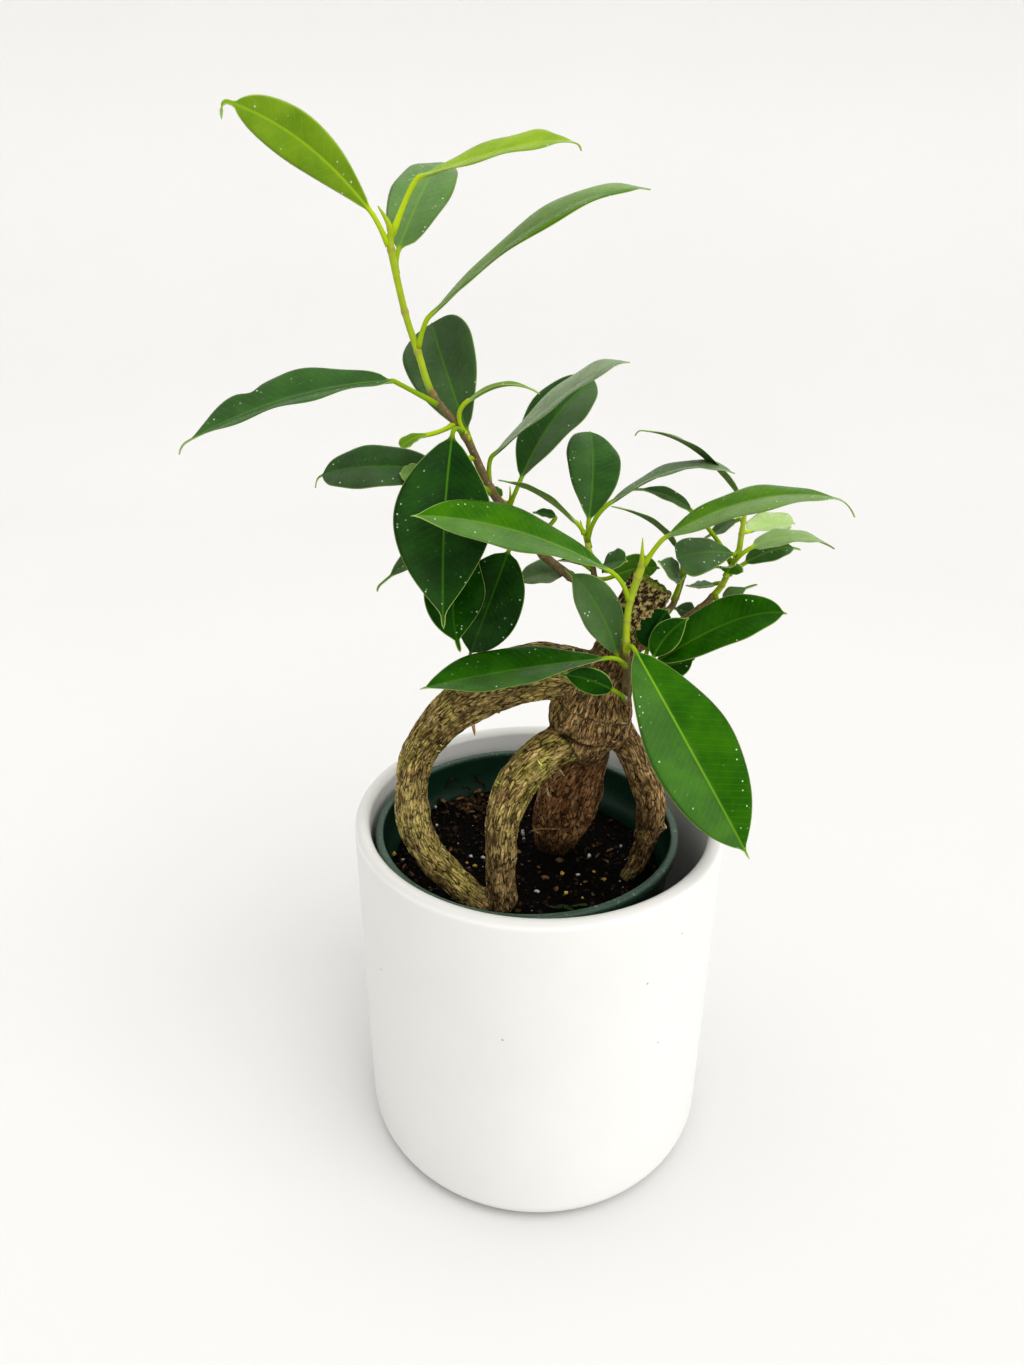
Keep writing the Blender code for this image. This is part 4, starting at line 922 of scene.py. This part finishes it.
def leaf(
    number, shoot, place, base, mid, tip, width, faces_to, young=0.0, fold=12, twist=0, belly=0.47, hook=None,
    root=0.8, point=0.85, drip=3.5, arch=0.12, wave=0.3, rib_show=0.36, skew=0.0, bow=0.45, dent=None,
    tip_half=TIP_HALF, bloom=0.06,
):
    """One leaf as one loft, from its stalk in the shoot to its drip tip. place is counted in the shoot's
    listed points, base, mid and tip lie on the midrib, and faces_to is the way the upper side looks; fold and
    twist are in degrees. belly, root and point shape the outline, drip is the length of the fine tip and hook
    its end, arch bulges each half, wave lifts the margin, skew widens one half, bow bends the stalk, dent is
    (place, depth, side) of a nick in the margin, and bloom is how much pale painted sheen, a painted
    reflection, lies on the leaf or on each half of it."""
    base, mid, tip, up_side = (np.array(v, float) for v in (base, mid, tip, faces_to))
    bend = 2 * mid - (base + tip) / 2
    first = unit(bend - base)
    path = shoot_paths[shoot]
    at = min(int(place * STEPS_PER_POINT), len(path) - 2)
    centre, stem_radius, stem_way = path[at, :3], path[at, 3], unit(path[at + 1, :3] - path[at, :3])
    away = base - first * 3 - centre
    away = unit(away - stem_way * (away @ stem_way))
    start = centre + away * (stem_radius * 0.5)
    reach = np.linalg.norm(base - start)
    guide = base - first * (bow * reach)
    u = np.linspace(-1, 1, ACROSS + 1)
    ring_u = np.concatenate([u, u[-2:0:-1]])
    size = np.abs(ring_u)
    is_under = np.concatenate([np.zeros(ACROSS + 1), np.ones(ACROSS - 1)])
    circle = np.pi * (1 - ring_u) / 2 * np.where(is_under > 0, -1, 1)
    side = unit(np.cross(first, up_side))
    rings, columns = [], {}
    # bloom, per half of the leaf, is the share of painted sheen.
    painted_sheen_by_half = np.interp(ring_u, (-0.12, 0.12), np.broadcast_to(bloom, 2))

    def round_ring(spot, radius, across, over):
        return spot + radius * (np.cos(circle)[:, None] * across + np.sin(circle)[:, None] * over)

    def add_ring(points, **told):
        rings.append(points)
        for key, numbers in {**told, "under": is_under, "young": young, "bloom": painted_sheen_by_half}.items():
            columns.setdefault(key, []).append(np.broadcast_to(numbers, ring_u.shape))

    for t in np.arange(STALK_STATIONS) / STALK_STATIONS:
        spot, heading = curved(t, start, guide, base)
        across = unit(side - heading * (side @ heading))
        radius = STALK_RADIUS * (1.35 - 0.40 * min(t * 3, 1))
        ring = round_ring(spot, radius, across, np.cross(across, heading))
        add_ring(ring, rib=0.0, edge=3.0, along=-reach * (1 - t), stalk=1.0, rib_show=1.0)

    length = np.linalg.norm(tip - base)
    for k in range(BLADE_STATIONS + 1 + (HOOK_STATIONS if hook is not None else 0)):
        s = (min(k, BLADE_STATIONS) / BLADE_STATIONS) ** 1.1
        spot, heading = curved(s, base, bend, tip)
        across = unit(np.cross(heading, up_side))
        over = np.cross(across, heading)
        turn = math.radians(twist) * (s - 0.5)
        level, steep = math.cos(turn), math.sin(turn)
        across, over = across * level + over * steep, over * level - across * steep
        strip = tip_half * (1 - 0.3 * s) * (1 if hook is not None else math.sqrt(max(0.0, 1 - s**30)) + 0.02)
        half = math.hypot(width / 2 * leaf_width(s / (1 - drip / length), belly, root, point), strip)
        if k > BLADE_STATIONS:
            h = (k - BLADE_STATIONS) / HOOK_STATIONS
            to_hook = np.array(hook, float) - tip
            spot, heading = curved(h, tip, tip + heading * (0.5 * np.linalg.norm(to_hook)), tip + to_hook)
            across = unit(across - heading * (across @ heading))
            over = np.cross(across, heading)
            half = half * (math.sqrt(1 - h**3) + 0.02)
        out = half * ring_u * (1 + skew * ring_u)
        if dent is not None:
            nick = dent[1] * math.exp(-(((s - dent[0]) / 0.045) ** 2))
            out = out * np.where(ring_u * dent[2] > 0, 1 - nick * size, 1.0)
        soft = np.sqrt(size**2 + 0.01) - 0.1
        bulge = arch * (size - size**3) * math.sin(math.pi * min(s, 1))
        ripple = wave * math.sin(5.5 * s * math.pi + young * 2 + place) * min(1, half / 5)
        rise = half * (math.sin(math.radians(fold)) * soft + bulge) + ripple * size**2 * ring_u
        groove = -0.17 * np.exp(-((out / 0.38) ** 2)) * math.sin(math.pi * min(s * 1.05, 1)) * (half > 1.2)
        keel = (0.7 * (1 - s) ** 1.2 + 0.05) * np.exp(-((out / 0.7) ** 2))
        body = LEAF_THICK / 2 * (1 - 0.55 * size**2)
        lift = rise + np.where(is_under > 0, -body - keel, np.where(size > 0.999, 0.0, body + groove))
        blade = spot + (out * math.cos(math.radians(fold)))[:, None] * across + lift[:, None] * over
        grown = min(1.0, s / 0.06)
        grown = grown * grown * (3 - 2 * grown)
        if grown < 1:
            blade = round_ring(spot, STALK_RADIUS * 0.95, across, over) * (1 - grown) + blade * grown
        add_ring(
            blade, rib=np.abs(out), edge=half * (1 - size), along=s * length, stalk=max(0.0, 1 - s / 0.035),
            rib_show=rib_show * (1 - 0.6 * s),
        )
    values = {key: np.concatenate(rows) for key, rows in columns.items()}
    slot = "young_leaf" if young >= 0.5 else "leaf"
    name = f"{shoot.replace('_shoot', '')}_leaf_{number}"
    make_piece(name + "_blade", *skin_over(rings), leaf_finishes[slot], slot, [name], values)


tall = "tall_shoot"
leaf(1, tall, 10.1, (-48, 0, 311.5), (-64.8, 2.5, 327.2), (-83.5, 2, 336.4), 12.6, (-0.4, -0.8, 0.4), 0.72,
     fold=6, belly=0.6, root=0.95, point=0.65, drip=1.5, hook=(-85.6, 1, 332.4), rib_show=0.7, bow=0.3,
     tip_half=0.95)
leaf(2, tall, 10.6, (-34.5, 0, 319.3), (-8.5, -8, 325.4), (6, -7.5, 326.2), 14.5, (-0.2, -0.4, 0.9), 0.97,
     fold=8, hook=(7.5, -8, 324.4), root=0.9, bow=0.15, drip=1.5)
leaf(3, tall, 9.6, (-41.5, 4, 302), (-36, 23.5, 319), (-33.5, 44, 327), 18, (0, -0.5, 0.85), 0.32, fold=5,
     root=0.7, point=0.7, drip=1, bloom=(0.3, 0.26))
leaf(4, tall, 8.1, (-33, 0, 285.5), (0.5, -4.5, 310.4), (26, -1, 316.5), 18, (-0.45, -0.3, 0.85), 0.48,
     fold=3, belly=0.55, root=1.0, point=0.85, drip=2, bloom=(0.3, 0.0), bow=0.25)
leaf(5, tall, 5.2, (-23.7, 9, 253), (-31.4, 20, 271), (-36, 29.5, 282.6), 24, (-0.3, -0.8, 0.45), 0.05,
     fold=12, twist=10, belly=0.62, root=0.95, point=0.5, drip=1, rib_show=0.6, bloom=(0.24, 0.2))
leaf(6, tall, 6.85, (-43.5, -2, 268.5), (-71, -11, 264.8), (-97.5, -21.5, 254.3), 20.5, (-0.1, -0.35, 0.9),
     0.09, fold=16, twist=-5, belly=0.52, hook=(-99.4, -24, 251.2), point=0.8, drip=1.5,
     dent=(0.66, 0.3, 1), bow=0.0, wave=0.5, bloom=(0.16, 0.1))
leaf(7, tall, 5.9, (-22.8, 1.5, 262.8), (-11.9, -1, 267.6), (-1.9, -3, 265.4), 3, (0, -0.3, 1), 0.6,
     fold=25, tip_half=0.5, bow=0.6, bloom=0.3)
leaf(8, tall, 6.3, (-35, 0, 253.3), (-39, -1.5, 252.2), (-42, -3.4, 250), 5, (0, -0.5, 1), 0.6, fold=10,
     belly=0.7, point=0.35, root=1.2, drip=0.3, bow=0.5)
leaf(9, tall, 4.9, (-31, 0, 243), (-54, 4, 243), (-69.5, 9, 239), 16, (-0.2, -0.65, 0.75), 0.03, fold=2,
     hook=(-71.1, 8, 235.6), root=0.6, point=0.6, belly=0.5, drip=1.5, bloom=(0.2, 0.12))
leaf(10, tall, 5.6, (-34, -0.8, 243.6), (-39.5, -1.5, 242), (-43, -2.5, 242.6), 7.5, (-0.3, -0.6, 0.75),
     0.5, point=0.5, drip=0.5, bloom=0.3)
leaf(11, tall, 6.15, (-27, -2.5, 254), (-29.7, -7, 227.5), (-28.7, -24, 201.8), 30.8, (0, -0.9, 0.35), 0.02,
     fold=20, twist=-5, belly=0.5, root=0.74, point=1.04, drip=3.5, rib_show=0.8, tip_half=1.2,
     bloom=(0.03, 0.06))
leaf(12, tall, 4.2, (-22, 5, 220), (-27.8, -1.5, 205), (-25.3, -10, 188.8), 19.6, (0.2, -0.85, 0.45), 0.06,
     belly=0.54, point=0.85, drip=3.5, tip_half=1.2, bloom=0)
leaf(13, tall, 3.6, (-11, 6, 217), (-17.3, 1, 200), (-24.3, 3, 180.5), 23, (-0.2, -0.9, 0.3), 0.03,
     belly=0.5, root=0.75, point=0.75, rib_show=0.4, bloom=0.03)
leaf(14, tall, 4.4, (-21, 11, 223), (-36, 7, 217), (-50.5, -2, 208), 13, (-0.4, -0.6, 0.7), 0.1,
     hook=(-51.4, -4, 206.2), bloom=0.25)
leaf(15, tall, 5.15, (-16, 6, 246.4), (8, -0.5, 267.5), (23, -2, 274), 18, (-0.6, -0.15, 0.8), 0.1, fold=6,
     twist=7, belly=0.52, root=1.0, point=0.9, drip=2, bow=0.25, bloom=(0.85, 0.55))
leaf(16, tall, 2.3, (7, 11.5, 208.5), (-2, 10.5, 208), (-11.5, 9, 204), 11, (-0.15, -0.5, 0.85), 0.1,
     bow=0.1, bloom=0.5)
leaf(17, tall, 3.4, (3.4, 10, 227), (0.2, 10, 228), (-3.7, 10, 228.3), 4.6, (0.2, -0.4, 0.9), 0.0,
     point=0.5, drip=1, bow=0.1)

side = "side_shoot"
leaf(1, side, 0.9, (-7.5, 10.5, 238.5), (2.3, 23, 254.5), (15.3, 31.5, 266.5), 21.4, (-0.35, -0.6, 0.7),
     0.08, fold=10, twist=-10, belly=0.6, root=0.9, point=0.6, drip=1, rib_show=0.45, bloom=(0.07, 0.24))
leaf(2, side, 1.3, (-14, 11.3, 232.3), (-15.5, 11.5, 234), (-17.3, 11.5, 235.7), 5, (0.4, -0.6, 0.7), 0.3,
     point=0.5, drip=0.5)

front = "front_shoot"
leaf(1, front, 5, (19, -18, 218.5), (-8.5, -17, 229.6), (-36.5, -27, 236), 22, (0.3, -0.3, 0.9), 0.33,
     fold=5, twist=28, belly=0.5, rib_show=0.5, root=0.9, point=0.95, drip=1.5, tip_half=0.6,
     bloom=(0.2, 0.0))
leaf(2, front, 7, (34, -20, 229), (56.5, -23.5, 240.6), (78.5, -24.4, 241.6), 18.5, (-0.15, -0.12, 0.85),
     0.42, fold=2, twist=8, belly=0.48, hook=(83.6, -26, 237), root=0.85, point=0.85, drip=0.5, bow=0.2,
     tip_half=1.2, bloom=(0.0, 0.3))
leaf(3, front, 2.7, (27.5, -18, 194.5), (44.5, -35, 169), (63, -44, 138), 29, (0.3, -0.78, 0.55), 0.29,
     fold=8, twist=-12, belly=0.53, rib_show=0.95, bloom=(0.0, 0.1))
leaf(4, front, 1.8, (23, -13.6, 190.5), (15.8, -12.8, 206.5), (6.2, -12.5, 217.3), 14, (0.4, -0.85, 0.35),
     0.16, fold=8, belly=0.5, bloom=(0.26, 0.22))
leaf(5, front, 1.8, (19.5, -20, 192), (-11, -19, 186.5), (-35.5, -29.5, 185), 22, (-0.1, -0.2, 0.97), 0.16,
     fold=9, twist=10, belly=0.52, root=0.85, point=0.95, drip=2, bloom=(0.13, 0.0))
leaf(6, front, 0.3, (21.5, -22, 182.6), (14, -20, 185), (5.5, -19, 186), 8.4, (-0.25, -0.95, 0.25), 0.07,
     fold=14, root=0.7, point=0.7, drip=2, bloom=0)

middle = "middle_shoot"
leaf(1, middle, 2.8, (13.8, 8, 226.5), (15.3, 23.5, 239.5), (14.8, 42.5, 248.4), 18.3, (0.25, -0.5, 0.85),
     0.12, fold=6, belly=0.6, root=0.9, point=0.62, drip=0.8, bloom=(0.12, 0.06))
leaf(2, middle, 3.4, (19.5, 1.5, 233.5), (39, 3.5, 243.4), (56.2, 2, 242.8), 14, (-0.26, 0, 0.97), 0.08,
     fold=8, belly=0.6, root=0.95, point=0.6, drip=1.5, bloom=0.42)
leaf(3, middle, 4, (10, 3, 227), (-1.8, 2, 236), (-14, 1, 240.2), 6.8, (0.4, 0.45, 0.8), 0.4, fold=8,
     belly=0.6)
leaf(4, middle, 1.6, (12, 6, 213.5), (8, 8.5, 213.4), (4.5, 9.5, 213), 5.4, (-0.05, 0, 1), 0.0, drip=1,
     bow=0.0)
leaf(5, middle, 2.3, (18.5, 1, 214), (22, -1.5, 216), (25.5, -4, 217.2), 10.5, (-0.1, -0.5, 0.85), 0.09,
     point=0.5, drip=1, bloom=0.15)
leaf(6, middle, 1.2, (22, 5, 209.5), (29.8, 8, 211.3), (37, 8, 211.5), 9.5, (0.2, -0.75, 0.6), 0.38,
     point=0.6, drip=1, bloom=0.05)

near = "near_right_shoot"
leaf(1, near, 1.8, (41, 4, 220), (32, 2, 228.4), (20, 0, 233), 5.5, (0.5, 0.35, 0.8), 0.1, bloom=0.5)
leaf(2, near, 3.6, (47, 5.5, 212), (50, 4.5, 213.7), (56, 3, 213.2), 7, (-0.25, -0.2, 0.95), 0.4, drip=1)
leaf(3, near, 3.4, (43, 3, 210), (39, -1.5, 214), (34.5, -4, 217.5), 8, (0.7, -0.5, 0.4), 0.05, drip=1,
     bloom=0.3)

far = "far_right_shoot"
leaf(1, far, 6.1, (58.5, 4.5, 217.5), (50, 1.2, 219), (40.5, -1.5, 217.6), 12.5, (0.25, -0.75, 0.6), 0.08,
     fold=10, belly=0.8, root=1.0, point=0.2, drip=0.3, skew=-0.18, bloom=0.22)
leaf(2, far, 5.4, (45.4, 9, 229.8), (36.4, 10.5, 234.7), (27, 11.5, 235.5), 6, (0.15, -0.5, 0.85), 0.12,
     bloom=0.2)
leaf(3, far, 8.4, (60, 9, 235), (44.2, 8, 249), (28.5, 8, 254), 8.5, (0.5, 0.1, 0.85), 0.25,
     hook=(26.6, 8, 252.5), bloom=0.3)
leaf(4, far, 7.2, (64.5, 13, 222.5), (74, 20, 223), (81, 20.5, 223.4), 15, (-0.05, -0.15, 1), 0.75,
     point=0.5, drip=1, belly=0.6, bloom=0.75)
leaf(5, far, 5.1, (64, 3, 220.2), (76.3, 2, 224), (88, -0.5, 221), 9, (-0.1, -0.2, 1), 0.45, fold=4,
     twist=60, belly=0.6, point=0.3, root=0.7, drip=0.3, bloom=0.5)
leaf(6, far, 4.8, (63.5, 8, 213.6), (73.5, 10.5, 217.5), (82.2, 14.5, 216.3), 9, (0.05, -0.5, 0.85), 0.12,
     bloom=0.1)
leaf(7, far, 7.5, (60.4, 13, 226), (55.2, 14, 222.5), (50, 15, 218.4), 6.5, (-0.6, -0.35, 0.7), 0.05,
     bloom=0.3)
leaf(8, far, 4.8, (57, 3, 212), (58, 1, 214.5), (58.5, -1.5, 216), 8, (0.2, -0.9, 0.35), 0.35, drip=0.6)
leaf(9, far, 4.1, (55, 10.5, 205.8), (50.5, 10, 205), (46, 11, 205), 8, (0, 0, 1), 0.1, drip=1, bloom=0.5)
leaf(10, far, 3.2, (57.5, 3.5, 202), (61.5, 4.5, 205.2), (68, 7, 207), 7, (-0.3, -0.3, 0.9), 0.2, bloom=0.3)
leaf(11, far, 1.5, (49.5, 10.5, 195.5), (46.7, 10.5, 196.4), (42, 10.5, 197.5), 6.5, (0.4, -0.75, 0.5),
     0.05, drip=1, bloom=0.2)

low = "low_right_shoot"
leaf(1, low, 1.1, (35, -13.5, 188), (56.5, -14, 202), (72.5, -14.5, 205), 17, (-0.45, -0.55, 0.7), 0.17,
     root=0.7, point=0.75, drip=2, bloom=0)
leaf(2, low, 1.5, (32.5, -11.2, 192), (34.6, -10.5, 198.6), (38.5, -9, 204), 11.5, (-0.2, -0.9, 0.3), 0.0,
     point=0.6, drip=1, bloom=0)
leaf(3, low, 1.5, (34, -14.6, 190.5), (38, -13.8, 197.5), (44, -12.5, 202.5), 9, (-0.25, -0.85, 0.4), 0.12,
     drip=1, bloom=0)
leaf(4, low, 0.8, (35, -11.5, 186), (41.5, -9.5, 186), (48, -7, 187), 9.5, (0, -0.75, 0.6), 0.1, drip=1,
     bloom=0)


# The plant stands on a plain pale sheet that sweeps up behind it, under broad soft light from the upper right
# and from above, with an even white surround.
def paper():
    sheet = Finish("pale_paper", 0.9, 0.1)
    cloud, fibres = sheet.cloudy(400, 2), sheet.cloudy(3, 4)
    lying = sheet.mixed(cloud, (0.66, 0.655, 0.645), (0.69, 0.685, 0.675))
    upright = sheet.mixed(cloud, (0.84, 0.835, 0.825), (0.87, 0.865, 0.855))
    sheet.colour = sheet.mixed(sheet.between(sheet.axis("Z"), 0.05, 0.75), lying, upright)
    return sheet.dress(sheet.between(fibres, 0.3, 0.7, 0.85, 0.95), fibres, 0.05)


sweep = [(-2.5, 0.0), (0.9, 0.0)]
sweep += [(0.9 + 0.7 * math.sin(a), 0.7 - 0.7 * math.cos(a)) for a in np.linspace(0.1, math.pi / 2, 16)]
sweep += [(1.6, 3.0)]
points = [(x, y, z) for y, z in sweep for x in (-3.0, 3.0)]
faces = [(2 * i, 2 * i + 1, 2 * i + 3, 2 * i + 2) for i in range(len(sweep) - 1)]
floor_mesh = bpy.data.meshes.new("floor")
floor_mesh.from_pydata(points, [], faces)
floor_mesh.shade_smooth()
floor_mesh.materials.append(paper())
floor = bpy.data.objects.new("floor", floor_mesh)
bpy.context.scene.collection.objects.link(floor)


def far_window(name, place, spread, strength):
    """A broad light so far off that the floor and the wall are lit evenly; spread is its angle in degrees."""
    lamp = bpy.data.lights.new(name, "SUN")
    lamp.angle, lamp.energy = math.radians(spread), strength
    stand = bpy.data.objects.new(name, lamp)
    stand.location = place
    stand.rotation_euler = Vector(place).to_track_quat("Z", "Y").to_euler()
    stand.visible_glossy = False
    bpy.context.scene.collection.objects.link(stand)


def white_room():
    """An even surround that is brighter above and on the right, and dim on the viewer's side."""
    world = bpy.data.worlds.new("white_room")
    world.use_nodes = True
    room = Nodes(world.node_tree)
    background = world.node_tree.nodes["Background"]
    aims = room.put("SeparateXYZ", {"Vector": room.put("TexCoord", {}).outputs["Generated"]}).outputs
    glow = 0.52
    for axis, rise in (("X", 0.12), ("Y", 0.12), ("Z", 0.25)):
        glow = room.scaled(aims[axis], rise, glow)
    seen = room.put("LightPath", {}).outputs["Is Camera Ray"]
    room.plug(room.mixed(seen, (1.0, 0.99, 0.975), (0.92, 0.915, 0.90)), background.inputs["Color"])
    strength = room.put("Mix", {0: seen, 2: glow, 3: 1.0}, data_type="FLOAT").outputs[0]
    room.plug(strength, background.inputs["Strength"])
    bpy.context.scene.world = world


far_window("window_light", (0.8, -0.75, 1.0), 60, 1.4)
far_window("top_light", (-0.2, 0.1, 1.0), 70, 0.9)
white_room()
bpy.context.scene.view_settings.view_transform = "Standard"
bpy.context.scene.view_settings.look = "Medium High Contrast"


# The camera looks down 24 degrees from 30 cm up, close to the plant, as the photograph does.
CAMERA_PLACE = (0.0, -0.2686, 0.2960)
CAMERA_DOWN = math.radians(24.35)
CAMERA_LEFT = math.radians(2.03)
CAMERA_ROLL = math.radians(0.29)
FOCAL_PIXELS = 900.0
IMAGE_HEIGHT = 1365.0
camera_data = bpy.data.cameras.new("camera")
camera_data.sensor_width = 36.0
camera_data.lens = camera_data.sensor_width * FOCAL_PIXELS / IMAGE_HEIGHT
camera_data.clip_start = 0.01
camera = bpy.data.objects.new("camera", camera_data)
camera.location = CAMERA_PLACE
turn = Matrix.Rotation(CAMERA_LEFT, 3, "Z") @ Matrix.Rotation(math.pi / 2 - CAMERA_DOWN, 3, "X")
camera.rotation_euler = (turn @ Matrix.Rotation(CAMERA_ROLL, 3, "Z")).to_euler()
bpy.context.scene.collection.objects.link(camera)
bpy.context.scene.camera = camera
